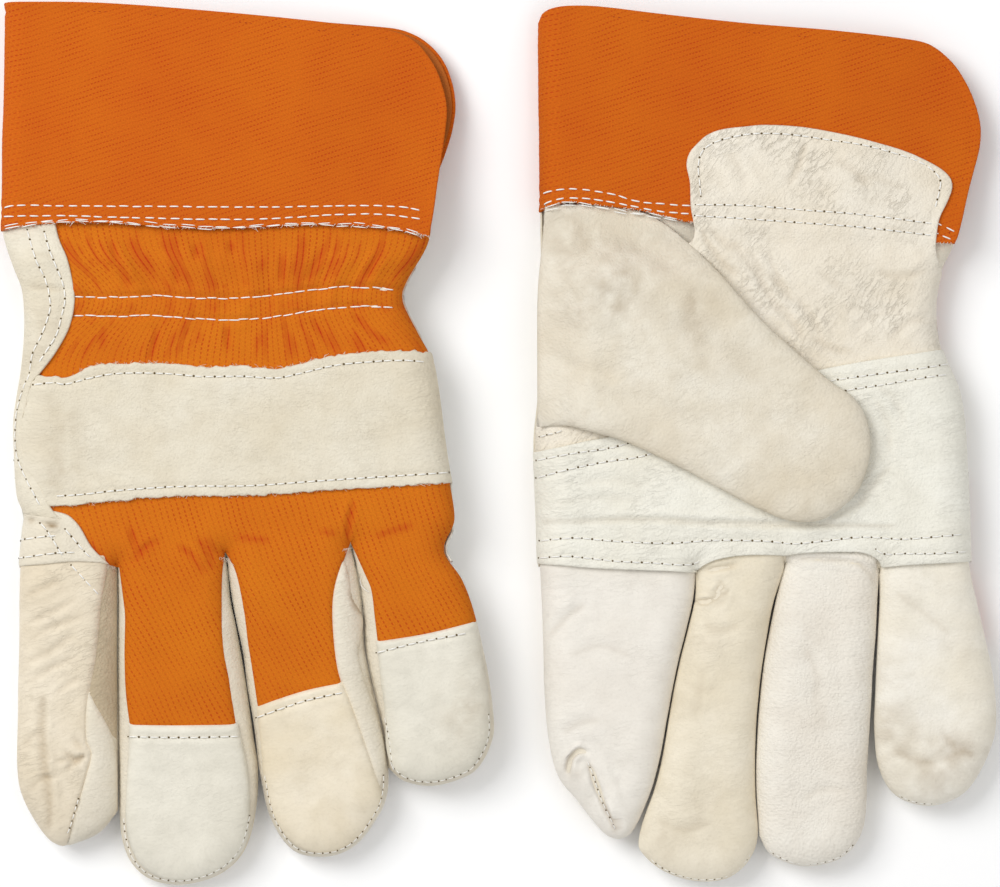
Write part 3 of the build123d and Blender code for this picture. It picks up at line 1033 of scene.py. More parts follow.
LEFT_OUTLINE = [
    (-21, 75, 0), (-21.5, 61), (-28.5, 48), (-29.5, 43), (-24.5, 32.5), (-21, 25.5), (-16.5, -5),
    (-14, -19.5), (-14, -24), (-17, -32), (-11.5, -41), (-8, -50.5), (-4, -67.5), (-2.2, -81), (-2.2, -88),
    (-5, -95), (-9, -99.5), (-20, -103), (-29, -101.5), (-33.6, -97.5, 0), (-34.6, -88.5), (-36.5, -79.5),
    (-38.7, -70), (-40.3, -61), (-40.8, -51.5), (-42, -42), (-44.6, -30.8, 0), (-42.3, -42), (-41.3, -51.5),
    (-40.8, -61), (-39.2, -70), (-37, -79.5), (-35, -88.5), (-33.8, -98), (-34, -105), (-36, -111),
    (-43.5, -121), (-52, -124.5), (-62, -122.8), (-69, -113), (-72.4, -98, 0), (-74, -84), (-75.8, -73),
    (-77, -63), (-78.8, -54.5), (-80.4, -46), (-82.2, -33, 0), (-81.2, -46.5), (-79.6, -54.5), (-77.7, -65),
    (-76.4, -73), (-74.4, -88), (-73, -98), (-74, -112), (-77.5, -123), (-84.5, -129.7), (-95.5, -133),
    (-105, -131.5), (-111, -126.5), (-113.8, -119), (-114.6, -110.5, 0), (-114.6, -97), (-114.7, -79),
    (-114.6, -61), (-114.5, -46), (-114.9, -36.2, 0), (-115, -48), (-115.1, -62), (-115.1, -80), (-115, -97),
    (-115.2, -110.5, 0), (-120.5, -117), (-127.5, -120.3), (-131.5, -121), (-136, -118.7), (-142, -109.5),
    (-144.6, -101), (-144.6, -78), (-144, -60), (-143.5, -37), (-142.5, -26), (-142, -21), (-144, -15.5),
    (-145, 1), (-145, 8.1), (-144.3, 12.9), (-142.8, 22.5), (-141.9, 32), (-141.8, 39.2), (-142.6, 46.9),
    (-144.7, 52.2), (-147.1, 58.9), (-148.3, 64.1), (-148, 75, 0),
]

RIGHT_OUTLINE = [
    (138, 75, 0), (137, 61), (132.5, 50.5), (131, 40), (132.5, 28), (138, 14), (140, -8), (140.7, -26),
    (141.2, -37), (143.5, -48), (146.3, -60), (148.3, -70), (149.3, -81), (148.5, -89), (144, -99.5),
    (138.5, -106), (129, -109), (119.5, -106), (114.5, -98), (113, -87), (113.3, -73.5), (113.9, -58.5),
    (114.5, -46.5), (114.1, -38, 0), (113.6, -46), (113, -56.5), (112.2, -67), (111.2, -84), (110.4, -98),
    (109.7, -114), (106.5, -121.5), (100, -126), (90, -127), (81.5, -123.5), (78.3, -118, 0), (77.6, -106),
    (77.5, -94), (78.2, -80), (80, -64), (83, -48.5), (85.9, -36, 0), (82, -48.5), (79.2, -64), (77.5, -78),
    (76.8, -92), (76.9, -106), (77.3, -119), (74.5, -126), (68, -131), (59, -131.7), (49, -128.5),
    (42.3, -122.5), (42, -119), (43.7, -112.5), (46.8, -104), (49.4, -93), (51.4, -80.5), (53.8, -68),
    (56.8, -56), (59, -46), (58.9, -38.2, 0), (58.2, -46), (56, -56), (53, -68), (50.4, -82), (48.3, -93),
    (45.5, -104), (42, -113, 0), (39, -117.7), (35.5, -119), (31.5, -117.3), (23, -107), (17.8, -100.5),
    (15, -90), (13.6, -74), (13, -53), (12.2, -35.5), (11.7, -20), (11, 1), (12.2, 13), (13.4, 31),
    (13, 75, 0),
]

LEFT_SHELL_LOW, LEFT_SHELL_HIGH = (c[2] for c in box_mm("left_palm_panel"))
RIGHT_SHELL_LOW, RIGHT_SHELL_HIGH = (c[2] for c in box_mm("right_palm_panel"))
SHELL_HALF = (LEFT_SHELL_HIGH - LEFT_SHELL_LOW) / 2
LEFT_MIDDLE_Z = (LEFT_SHELL_HIGH + LEFT_SHELL_LOW) / 2
RIGHT_MIDDLE_Z = (RIGHT_SHELL_HIGH + RIGHT_SHELL_LOW) / 2
EDGE_RADIUS = 9.0
BEND_EASE = 10.0  # how far the bends at the knuckles and the wrist reach each way
OUTLINE_STEP = 1.4
COTTON = 0.9
LEATHER = 1.3


def eased_past(distance):
    """0 before the line and the distance past it after, with a rounded turn."""
    turn = (distance + BEND_EASE) ** 2 / (4 * BEND_EASE)
    return np.where(distance <= -BEND_EASE, 0.0, np.where(distance >= BEND_EASE, distance, turn))


def slope(level, finger_droop, cuff_droop):
    """A form's middle height: level over the hand, coming down along the fingers and the cuff."""
    def middle(x, y):
        return level - finger_droop * eased_past(-40.0 - y) - cuff_droop * eased_past(y - 64.0)
    return middle


def hand_half(x, y):
    """Half the thickness of a hand form: thinner at the fingertips, the waist and inside the cuff."""
    tip = 1 - 0.22 * smooth((-85 - y) / 45)
    waist = 1 - 0.10 * np.exp(-(((y - 44) / 9) ** 2)) - 0.50 * smooth((y - 54) / 11)
    return SHELL_HALF * tip * waist * (1 + 0.05 * noise(x, y, 23, 5))


left_middle = slope(LEFT_MIDDLE_Z, LEFT_DROOP, LEFT_CUFF_DROOP)
right_middle = slope(RIGHT_MIDDLE_Z, RIGHT_DROOP, RIGHT_CUFF_DROOP)
left_form = Form(spline(LEFT_OUTLINE, OUTLINE_STEP, closed=True), left_middle, hand_half, EDGE_RADIUS)
right_form = Form(spline(RIGHT_OUTLINE, OUTLINE_STEP, closed=True), right_middle, hand_half, EDGE_RADIUS)

LEFT, RIGHT = GLOVES["left"], GLOVES["right"]
LEFT.form, RIGHT.form = left_form, right_form
LEFT.back, LEFT.palm = Side(left_form, 1), Side(left_form, -1)
RIGHT.palm, RIGHT.back = Side(right_form, 1), Side(right_form, -1)
APART = 157.4  # from a point of the left glove to the same point of the right one
LEFT.shift, RIGHT.shift = -APART, 0.0  # from the palm shapes, which are drawn on the right glove
LEFT.back_shift, RIGHT.back_shift = 0.0, APART  # from the back shapes, which are drawn on the left glove


def section(glove, k):
    """Where in the outline finger k begins and ends. The outline runs from the little finger to the index."""
    line = glove.form.outline
    turns = [int(np.hypot(*(line - d[0]).T).argmin()) for d in glove.dividers[1:4]]
    return (*turns, 0)[k], (len(line), *turns)[k]


def finger_edge(glove, k, top, inset):
    """The outline round finger k, below Y top, moved inwards by inset. It runs the way the outline runs."""
    line, out = glove.form.outline, glove.form.outward
    order = np.array([i for i in range(*section(glove, k)) if line[i, 1] < top])
    bend = (out[order] + out[order - 1]) / 2
    return line[order] - bend * inset


def finger_loop(glove, k, top, inset=0.0, raised=0.0):
    """A closed loop round finger k below top. raised carries its ends further up."""
    edge = finger_edge(glove, k, top, inset)
    if raised:
        edge = np.concatenate([edge, [edge[-1] + (0, raised)], [edge[0] + (0, raised)]])
    return edge


def span(glove, k, y):
    """Where finger k begins and ends at this Y."""
    start, end = section(glove, k)
    line = glove.form.outline[start:end]
    hit = np.flatnonzero((line[:-1, 1] > y) != (line[1:, 1] > y))
    a, b = line[hit], line[hit + 1]
    x = a[:, 0] + (b[:, 0] - a[:, 0]) * (y - a[:, 1]) / (b[:, 1] - a[:, 1])
    return x.min(), x.max()


def shifted(points, by):
    """The points, or spots, moved along X."""
    return [(p[0] + by, *p[1:]) for p in points]


def creases_shifted(creases, by):
    return [(shifted(points, by), depth, width) for points, depth, width in creases]


def rows_shifted(rows, by):
    """Smooth lines through rows of points, moved along X."""
    return [spline(shifted(points, by), ROW_STEP) for points in rows]


# ------------------------------------------------------------------ the backs, drawn on the left glove


LEFT_BACK = [
    (-137, 70, 0), (-134, 45), (-138, 22), (-142, 5), (-141, -12), (-136, -21), (-126, -29),
    (-117.8, -36.3, 0), (-114.2, -37.2, 0), (-113.2, -45), (-112.5, -51.5), (-112.8, -64), (-112.3, -75.5),
    (-111, -85.5, 0), (-79, -85.5, 0), (-81.3, -70), (-82.7, -61), (-83.2, -51.5), (-83.2, -40),
    (-82.4, -32.6, 0), (-79.6, -37.5), (-78, -43.5), (-76.6, -51.5), (-75.8, -59), (-74.6, -67),
    (-72.6, -80.3, 0), (-60, -75.2), (-47.3, -72.6, 0), (-49, -64), (-50, -54.5), (-50, -47.5), (-48.5, -40),
    (-46.5, -34.5), (-44.8, -29.8, 0), (-42.4, -35), (-40.2, -40), (-38.6, -44), (-37.6, -52),
    (-36.6, -60.5, 0), (-6.5, -54, 0), (-7.2, -50.5), (-10.4, -41), (-15, -32), (-12.5, -24), (-12.5, -19.5),
    (-15, -5), (-19.8, 25.5), (-23.3, 32.5), (-28.3, 43), (-27.3, 48), (-20, 61), (-20, 70, 0),
]
LEFT_MIDDLE_CAP = [
    (-111.3, -83.9, 0), (-111.6, -94), (-112.2, -103), (-112.6, -113), (-111.2, -121), (-107.5, -127.5),
    (-102, -130.8), (-95.5, -131.8), (-87.5, -130), (-80.5, -125.6), (-76.6, -120), (-75.4, -111),
    (-75.6, -100.5), (-76.8, -92.5), (-78.6, -83.9, 0), (-95, -84.2),
]
LEFT_RING_CAP = [
    (-73.1, -78.9, 0), (-71.9, -90), (-71, -100), (-69, -110), (-65.4, -117), (-60, -121.8), (-53, -123.4),
    (-46.5, -121.6), (-40.4, -116.5), (-36, -109.5), (-35.6, -105), (-37.5, -99), (-41, -88.5), (-44.6, -78),
    (-47.2, -71.4, 0), (-57.5, -73.6), (-68.5, -77),
]
LEFT_LITTLE_CAP = [
    (-37.1, -59.1, 0), (-35.8, -70), (-34.5, -81), (-33.9, -92), (-31.8, -98), (-26.5, -101), (-20, -101.8),
    (-10, -98.8), (-5.6, -94), (-3.2, -88), (-3.1, -81), (-4.2, -70), (-7.3, -53.1, 0), (-22, -56.8),
]
# painted shade: darker spots down the little cap's right side, which turns away from the key lamp
LITTLE_CAP_SIDE_SHADE = [(-6, -66, 5, 0.2), (-8, -76, 7, 0.2), (-12, -82, 7, 0.18), (-14, -90, 6, 0.12)]
MIDDLE_CAP_ROW = [(-111.3, -87.9), (-95, -88.1), (-77.8, -87.8)]
RING_CAP_ROW = [(-72.6, -82.2), (-65.5, -79.4), (-57.5, -76.8), (-46.4, -74.4)]
LITTLE_CAP_ROW = [(-36.6, -62.6), (-25, -59.6), (-7.8, -56.3)]
SIDE_STRIP_EDGE = [
    (-133, 65.2), (-131.8, 60.8), (-129.4, 55.5), (-127.8, 48.8), (-127.1, 43.5), (-127.8, 37.8),
    (-129.4, 33), (-133.3, 26.3), (-137.6, 20.5), (-139.5, 18.1), (-141.1, 11.5), (-142.1, 8.1), (-142.5, 1),
    (-140.8, -7.4), (-137.8, -11.4), (-134.3, -18.8), (-131.6, -22),
]
SIDE_STRIP = [
    (-151, 70, 0), (-134, 70, 0), *SIDE_STRIP_EDGE, (-126.1, -24.3, 0), (-131.5, -22.8), (-136, -21.9),
    (-142, -20.9), (-147, -19, 0), (-148, 1), (-147, 19), (-145, 34), (-146, 44.5), (-149.5, 54),
]
SIDE_STRIP_ROWS = [
    [(-141.4, 64.1), (-138.5, 55.2), (-135.6, 48.8), (-134.2, 41.6), (-134.9, 37.5), (-136.8, 32),
     (-139.2, 26.8), (-140.4, 20.1), (-141.6, 17.7), (-143.3, 12.2), (-144, 8.6), (-144.2, 1), (-143.4, -4.6),
     (-140.3, -12.1), (-138.1, -16.3), (-135.6, -20.8)],
    [(-136.4, 63.4), (-134.7, 57.9), (-132.5, 52.6), (-130.6, 47.6), (-130, 42.6), (-131.1, 37.8),
     (-132.3, 33), (-135.2, 27.7), (-138.5, 22.5)],
]
SIDE_STRIP_CREASES = [
    ([(-141.4, 56.8), (-134.2, 56.1), (-131.4, 54.7)], 0.5, 0.8),
    ([(-141.4, 47.5), (-137.1, 46.5), (-132.8, 46.1), (-128.5, 46.1)], 0.6, 0.8),
    ([(-140.4, 39.8), (-134.7, 38.4)], 0.3, 0.8),
]
SIDE_STRIP_STAINS = [(-135, 35, 6, 0.14), (-134, 28, 6, 0.16), (-137, 50, 3, 0.1), (-139, 22, 5, 0.12)]
STRAP_TOP = [
    (-139.3, 18.2), (-137.4, 20.2), (-133, 19.9), (-128.3, 20.1), (-125.8, 21.2), (-122, 23.2), (-116, 23.9),
    (-102, 24.1), (-88.8, 23), (-77.3, 23.1), (-66.7, 22.5), (-60, 23.9), (-49.5, 26.3), (-40, 27.3),
    (-30.4, 27.7),
]
STRAP_FOOT = [(-12.5, -11.8), (-30, -12.6), (-52, -14), (-75, -15.6), (-95, -15.8), (-114, -17),
              (-126, -18.3), (-134.5, -18.8)]
STRAP = [*STRAP_TOP, (-18.5, 26.8, 0), (-17.5, 15), (-15, -5), (-12.5, -11.8, 0), *STRAP_FOOT[1:-1],
         (-135.2, -18.9, 0), (-138.7, -11.6), (-141.8, -7.6), (-143.4, 1), (-142.6, 6), (-141.2, 12)]
STRAP_ROWS = [
    [(-139, 17.5), (-133.3, 18.2), (-130.1, 17.7), (-123.2, 19.4), (-114.6, 20.9), (-99.8, 20.9), (-88.8, 20),
     (-77.3, 20.1), (-66.7, 19.6), (-60, 20.9), (-49.5, 23.3), (-40, 24.3), (-30.4, 24.8), (-20.5, 24)],
    [(-16, -8.8), (-30, -9.6), (-52, -11), (-75, -12.6), (-95, -12.8), (-114, -14), (-126, -15.3),
     (-135, -15.8)],
]
# dirt and painted shade: darker spots, most near the strap's left end, where a soft fold is dirty and shaded
STRAP_DIRT_AND_FOLD_SHADE = [(-131, -2, 8, 0.22), (-128, 8, 7, 0.16), (-134, -10, 6, 0.2), (-104, 2, 9, 0.05)]
PATCH_RETURN = [
    (-147, -18, 0), (-130, -21), (-126, -24.3), (-122.1, -30.8), (-118.1, -35.2), (-117.3, -36.3, 0),
    (-119, -35.8), (-127, -35.3), (-135, -36), (-147, -37.2, 0),
]
PATCH_RETURN_CREASES = [
    ([(-141.2, -22.9), (-138.2, -23.2)], 0.9, 0.7),
    ([(-136.8, -23.5), (-134, -24.6), (-131.2, -24.4)], 1.0, 0.7),
]
# painted shade: two dark spots below the side strip's foot, where small folds of the patch's end lie in shade
PATCH_RETURN_FOLD_SHADE = [(-140, -22.5, 1.6, 0.5), (-133.5, -24, 2, 0.5)]
PATCH_RETURN_ROWS = [
    [(-144.6, -28.9), (-142.3, -28.8), (-136, -27.8), (-131, -27.4)],
    [(-144.8, -34.4), (-142.8, -34.3), (-133.6, -32.8), (-125.6, -32.4)],
    [(-130.1, -25.3), (-127.1, -28.8), (-123.1, -33.3), (-119.9, -35.7)],
    [(-137.1, -23.8), (-135.6, -25.3), (-133.1, -29.5), (-130.6, -33.5), (-128.6, -35.7)],
]
INDEX_ROW = [(-128.2, -36.3), (-123.1, -41.9), (-119.6, -46)]
INDEX_BACK = [
    (-147, -33, 0), (-118, -33, 0), (-117.7, -37.4), (-119.3, -47.5), (-121.2, -65.4), (-123.5, -78.7),
    (-123.7, -89.6), (-122.4, -92.7), (-123.6, -98), (-126, -106.5), (-128, -113), (-130.6, -121.5, 0),
    (-133, -122), (-139, -119), (-143.5, -110), (-146, -101), (-146, -78), (-145.5, -60), (-145, -45),
]
INDEX_WALL = [
    (-117.2, -36.6, 0), (-114.9, -36.6, 0), (-114.9, -60), (-115.2, -89, 0), (-120.5, -83), (-124, -76),
    (-122.4, -65), (-120.4, -47.5),
]
INDEX_BULGE = [
    (-123.4, -73), (-121, -78), (-118.8, -82), (-116.3, -88), (-115.3, -95), (-115.3, -111, 0),
    (-119, -114.5), (-124, -118), (-130.4, -121.5, 0), (-128.6, -113), (-126.6, -106.5), (-124.1, -98),
    (-123, -92.7), (-124.3, -89.6), (-124.6, -82),
]
RING_WALL = [
    (-47.2, -34, 0), (-49.8, -43.3), (-50.2, -52), (-49.6, -61.6), (-48.6, -68.6), (-47.3, -71.9),
    (-44.2, -80.6), (-40.4, -92), (-36.6, -106, 0), (-34.6, -100), (-34.6, -92), (-36.8, -82.5),
    (-39.2, -74.9), (-41.2, -68.6), (-42.4, -63.5), (-41.6, -58.5), (-41.3, -51.5), (-44.2, -45.8),
    (-45.5, -38),
]
RING_WALL_CREASES = [
    ([(-44.5, -43), (-43.6, -48.4), (-41, -51.5), (-40.7, -55)], 1.3, 0.8),
    ([(-42.6, -59), (-41, -64.8), (-40.1, -70)], 1.1, 0.8),
]
RING_LOOSE_END = [(-41.6, -39.5), (-41.2, -42), (-40.4, -43.4), (-38.9, -44.3)]
INDEX_SEAM = [(-126.5, -106.5), (-128.5, -113), (-131, -119.5)]
INDEX_CREASES = [
    ([(-136.6, -74), (-137.2, -86), (-136.4, -97), (-135.2, -108), (-135.6, -117)], 1.3, 1.1),
    ([(-131.5, -92), (-127.5, -94.5), (-123.5, -93)], 1.0, 0.8),
    ([(-131, -98.5), (-127, -95.5), (-123.5, -92.5)], 0.9, 0.8),
    ([(-134, -95.5), (-129, -95), (-125, -96)], 0.7, 0.8),
    ([(-128, -88), (-126, -91), (-123.5, -92.5)], 0.7, 0.7),
    ([(-143, -46), (-138, -44), (-131, -40.5)], 0.6, 1.0),
    ([(-142, -54), (-135, -51), (-126, -46)], 0.5, 0.9),
    ([(-141, -59), (-134, -55), (-124, -51.5)], 0.5, 0.9),
    ([(-143, -66), (-136, -63), (-127, -57)], 0.5, 1.0),
    ([(-141, -72), (-134, -67), (-126, -64)], 0.5, 0.9),
    ([(-134, -76), (-129, -72), (-124.5, -70)], 0.5, 0.8),
    ([(-141, -105), (-138, -101), (-132, -99.5)], 0.6, 0.9),
    ([(-143, -92), (-140, -88), (-137.5, -86)], 0.6, 0.9),
]
CROTCH_FIBRES = [
    [(-117.8, -36.8), (-115.2, -37.8)], [(-84.2, -34.4), (-80.4, -35)], [(-47, -32), (-43.5, -31.4)],
]
ELASTIC_ROWS = [
    [(-127.6, 43.9), (-115, 43.7), (-104, 44.2), (-92, 43.6), (-80, 43.4), (-66, 44.6), (-55, 46),
     (-45, 46.8), (-30, 46)],
    [(-127.8, 38.4), (-116, 38), (-104, 38.3), (-92, 37.4), (-78, 37), (-66, 38), (-55, 39.9), (-42, 41),
     (-29.5, 40.4)],
]
FAN_MIDDLE = -72.0


def fan_x(x, y):
    """An X that stays the same along a thread of the back, where the elastic draws the threads together."""
    drawn = 0.30 * np.exp(-(((y - 43) / 11) ** 2))
    return FAN_MIDDLE + (x - FAN_MIDDLE) * (1 + drawn) + 0.6 * noise(x, y, 19, 91)


def fan_uv(x, y):
    """The drill's own grid: its lines fan out above the strap and slant below it, most on the fingers."""
    return fan_x(x, y) + 0.26 * np.minimum(y + 14, 0) + 0.19 * np.minimum(y + 35, 0), y


def gathers(x, y):
    """Puckers above and below the elastic, deepest near its two rows."""
    u = fan_x(x, y)
    near = np.exp(-(((y - 41) / 4.5) ** 2))
    above = smooth((y - 38) / 8) * smooth((66 - y) / 14)
    below = smooth((44 - y) / 8) * smooth((y - 22) / 16)
    pleats = noise(u, 0.15 * y, 3.4, 41) * near * 0.55
    upper = (noise(u, 0.12 * y, 6.2, 42) * 0.75 + noise(u, 0.2 * y, 2.9, 43) * 0.25) * above
    lower = (noise(u, 0.12 * y, 6.6, 44) * 0.55 + noise(u, 0.2 * y, 3.0, 45) * 0.2) * below
    swell = 0.5 * np.exp(-(((y - 54) / 6) ** 2)) + 0.3 * np.exp(-(((y - 30) / 6) ** 2))
    return (pleats + upper * 1.15 + lower + swell) * smooth((x + 134) / 8) * smooth((-29 - x) / 7)


def hand_waves(x, y):
    """Soft undulation of the orange back below the strap and on the finger backs."""
    wall = smooth((-14 - y) / 6)
    band = -0.35 * np.exp(-(((y + 26.5 + 0.03 * (x + 60)) / 4) ** 2)) * smooth((x + 85) / 20)
    return wall * (0.28 * noise(x, 0.6 * y, 13, 51) + 0.14 * noise(x, y, 5, 52) + band)


BACK_CREASES = [
    ([(-111, -24), (-108.5, -31), (-104.5, -34)], 0.7, 0.9),
    ([(-109.5, -36), (-106, -31), (-101, -29)], 0.5, 0.9),
    ([(-91, -27), (-87.5, -33), (-86, -39)], 0.6, 1.0),
    ([(-97, -30), (-92, -33.5), (-88, -40)], 0.4, 1.0),
    ([(-117, 62), (-114, 54), (-110, 46)], 1.0, 1.1),
    ([(-90.5, 61), (-91, 54)], 0.9, 1.4),
    ([(-97.5, 55), (-96, 47)], 0.7, 1.0),
    ([(-80.6, 62), (-80, 56)], 0.7, 1.2),
    ([(-64.8, 58), (-65.3, 47)], 0.8, 1.1),
    ([(-33.7, 59), (-37.5, 54), (-40.5, 48)], 0.9, 1.0),
    ([(-52, 60), (-56, 52), (-57, 47)], 0.5, 1.1),
    ([(-102, 35.5), (-103.5, 29), (-105.8, 23.5)], 0.6, 0.9),
    ([(-81.6, 36.5), (-81.3, 26.5)], 0.7, 0.9),
    ([(-57, 38.5), (-52, 31), (-48, 27)], 0.5, 1.1),
    ([(-45, 40), (-38, 33), (-32, 29)], 0.5, 1.1),
    ([(-43.6, -16.2), (-44.5, -21.3), (-45.5, -26.3), (-45.2, -30.1)], 0.9, 0.7),
]
# Red lines of the drill: the twill's own red lines crowd in tight folds, and red along every back crease and
# beside the leather's diagonal edge is painted shade.
RED_LINES_AND_CREASE_SHADE = [points for points, _, _ in BACK_CREASES] + [
    [(-107, 58), (-103, 50)], [(-118, 35), (-119.5, 27)], [(-71, 35), (-72, 28)],
    [(-76.3, 50), (-75.5, 46.5)], [(-59, 59), (-62, 50)], [(-47, 57), (-50, 48)], [(-70, 57), (-72, 50)],
    [(-90, 35), (-90, 29)], [(-106, -28), (-103.5, -33)], [(-88.5, -30), (-86.5, -36)],
    [(-55, -26), (-48, -27)], [(-98, 38), (-98.5, 43)], [(-85, 37.5), (-85.5, 43)],
    [(-63, 39), (-62.5, 44)], [(-110, 38.5), (-110.5, 43)],
    [(-126.5, -26), (-121, -32), (-117, -36.8)], [(-88, -26.5), (-86.5, -31), (-85.5, -35)],
    [(-38, -28), (-32, -26), (-25, -24)], [(-80, -27.5), (-74, -28.5), (-68, -29)],
]


def gather_streaks(x, y):
    """Red lines down the gathers, where the fabric's folds are tight."""
    zone = smooth((y - 43) / 5) * smooth((67 - y) / 8) + smooth((40 - y) / 5) * smooth((y - 22) / 8)
    zone = zone + 0.7 * np.exp(-(((y - 41) / 2) ** 2))
    return 0.75 * zone * smooth((noise(fan_x(x, y), 0.12 * y, 1.7, 47) - 0.2) / 0.45)


def make_shells():
    """Each glove's leather skin, which is the palm and the sides, and the lining inside it."""
    for glove, seed in ((LEFT, 11), (RIGHT, 21)):
        name = glove.name
        skin = shell(glove.form, 1.7, soft_folds(seed, 0.6), soft_folds(seed + 5, 0.6), depth=0.15, sunk=1.2)
        nodes = {"hand": [f"{name}_palm_panel"]}
        for finger in FINGERS:
            nodes[(finger, "base")] = [f"{name}_{finger}_front_base"]
            nodes[(finger, "tip")] = [f"{name}_{finger}_front_tip"]
        bind(glove, skin, "leather_skin", MATERIALS["hand"], nodes)
        lining = shell(glove.form, 3.4, flat_relief, flat_relief, depth=1.9, end=71.0)
        lining.faces = [f[::-1] for f in lining.faces]
        bind(glove, lining, "fleece", MATERIALS["fleece"], {"hand": [f"{name}_palm_lining"]})
        tape = shifted([(-139, 37, 0), (-31, 37, 0), (-31, 51, 0), (-139, 51, 0)], glove.back_shift)
        elastic = panel(glove.back, loop_on(glove.back, tape, 1.5), 2.0, 0.5, RAW, lift=-1.3, sink=0.0)
        bind(glove, elastic, "elastic_tape", MATERIALS["elastic"],
             {"hand": [f"{name}_wrist_elastic"]})


class Sewing:
    """The stitches and needle holes of one side of a glove."""

    def __init__(self):
        self.thread, self.holes = [], []

    def row(self, surface, line, kind, lift, seed, relief=flat_relief):
        made, pricked = stitches(surface, line, kind, lift, seed, relief)
        self.thread.append(made)
        if pricked:
            self.holes.append(pricked)

    def bind(self, glove, prefix=""):
        bind(glove, join(self.thread), f"{prefix}thread", MATERIALS["thread"])
        bind(glove, join(self.holes), f"{prefix}needle_holes", MATERIALS["hole"])


def orange_back(glove, outline, sewing):
    """The drill, which two rows of elastic thread gather at the wrist."""
    side, by, name = glove.back, glove.back_shift, glove.name

    def drill_relief(x, y):
        return gathers(x - by, y) + hand_waves(x - by, y)

    elastic = rows_shifted(ELASTIC_ROWS, by)
    creases = creases_shifted(BACK_CREASES, by)
    # red along the creases and beside the leather's edge is painted shade; the rest are the twill's lines
    # crowding in folds
    streaks = marks([shifted(points, by) for points in RED_LINES_AND_CREASE_SHADE], 1.0, 71)
    relief = grooved(creased(drill_relief, creases), elastic, 0.75, 0.8)
    sheet = panel(side, loop_on(side, outline, 1.2), 1.15, COTTON, TURNED, relief,
                  tone=lambda x, y: np.maximum(streaks(x, y), gather_streaks(x - by, y)),
                  uv=lambda x, y: fan_uv(x - by, y))
    nodes = {(finger, "base"): [f"{name}_{finger}_back_base"] for finger in FINGERS[1:]}
    nodes["hand"] = [f"{name}_back_panel"]
    bind(glove, sheet, "orange_back", MATERIALS["back"], nodes)
    for k, row in enumerate(elastic):
        sewing.row(side, row, TIGHT, COTTON + 0.4, 100 + k, relief)


def index_back(glove, loop, extras, sewing):
    """The index finger's leather back, and the leather walls between the fingers."""
    side, by, name = glove.back, glove.back_shift, glove.name
    nodes = {("index", "base"): [f"{name}_index_back_base"], ("index", "tip"): [f"{name}_index_back_tip"]}
    creases = creases_shifted(INDEX_CREASES, by)
    sheet = panel(side, loop, 1.0, 1.0, TURNED, creased(soft_folds(31, 1.1), creases), lift=0.3,
                  tone=crease_shade(creases))
    bind(glove, sheet, "index_back", MATERIALS["index_back"], nodes)
    for piece, outline, material, thick, seed, creases in extras:
        relief = creased(soft_folds(seed, 0.8), creases)
        sheet = panel(side, loop_on(side, outline, 1.0), 0.8, thick, TURNED, relief,
                      tone=crease_shade(creases, strength=0.5))
        bind(glove, sheet, piece, MATERIALS[material])
    rows = [INDEX_ROW, INDEX_SEAM] if extras else [INDEX_ROW]
    for k, row in enumerate(rows_shifted(rows, by)):
        sewing.row(side, row, SMALL if k else FINE, 1.4, 110 + k)


def back_strips(glove, sewing):
    """The leather strips: the end of the palm patch, the side strip and the knuckle strap."""
    side, by, name = glove.back, glove.back_shift, glove.name

    def spots(listed, seed):
        return stain_and_shade_spots(shifted(listed, by), seed)

    def strip(piece, outline, rows, lift, material, slot, thick, folds, nodes, first, tone, ragged=0.0):
        """One strip and its rows. ragged is how far its cut edge wanders."""
        lines = rows_shifted(rows, by)
        relief = grooved(folds, lines, 0.35)
        loop = loop_on(side, shifted(outline, by), 0.55 if ragged else 1.0)
        x, y = loop.T
        torn = ragged * smooth((nearest(loop, side.form.outline)[0] - 2) / 2)
        loop = loop + np.column_stack([torn * noise(x, y, 1.1, 81), torn * noise(x, y, 1.1, 82)])
        sheet = panel(side, loop, 0.95, thick, RAW, relief, lift=lift, tone=tone)
        bind(glove, sheet, piece, MATERIALS[material], nodes)
        for k, row in enumerate(lines):
            sewing.row(side, row, FINE, lift + thick + STITCH_RISE, first + k, relief)

    # the patch's end gets painted shade in its creases and in two dark spots below the side strip's foot
    creases = creases_shifted(PATCH_RETURN_CREASES, by)
    strip("patch_return", PATCH_RETURN, PATCH_RETURN_ROWS, 0.6, "hand", "split_leather", LEATHER,
          creased(soft_folds(38, 0.8), creases), {}, 150,
          crease_shade(creases, spots(PATCH_RETURN_FOLD_SHADE, 62), 0.8))
    creases = creases_shifted(SIDE_STRIP_CREASES, by)
    strip("side_strip", SIDE_STRIP, SIDE_STRIP_ROWS, 1.1, "strap", "strap_leather", LEATHER - 0.2,
          creased(soft_folds(33, 0.9), creases), {"hand": [f"{name}_side_strip"]}, 120,
          crease_shade(creases, spots(SIDE_STRIP_STAINS, 61)))
    # the strap's darker spots are dirt and painted fold shade
    strip("knuckle_strap", STRAP, STRAP_ROWS, COTTON + 0.1, "strap", "strap_leather", LEATHER,
          soft_folds(37, 0.9), {"hand": [f"{name}_knuckle_strap"]}, 130,
          spots(STRAP_DIRT_AND_FOLD_SHADE, 68), ragged=0.38)


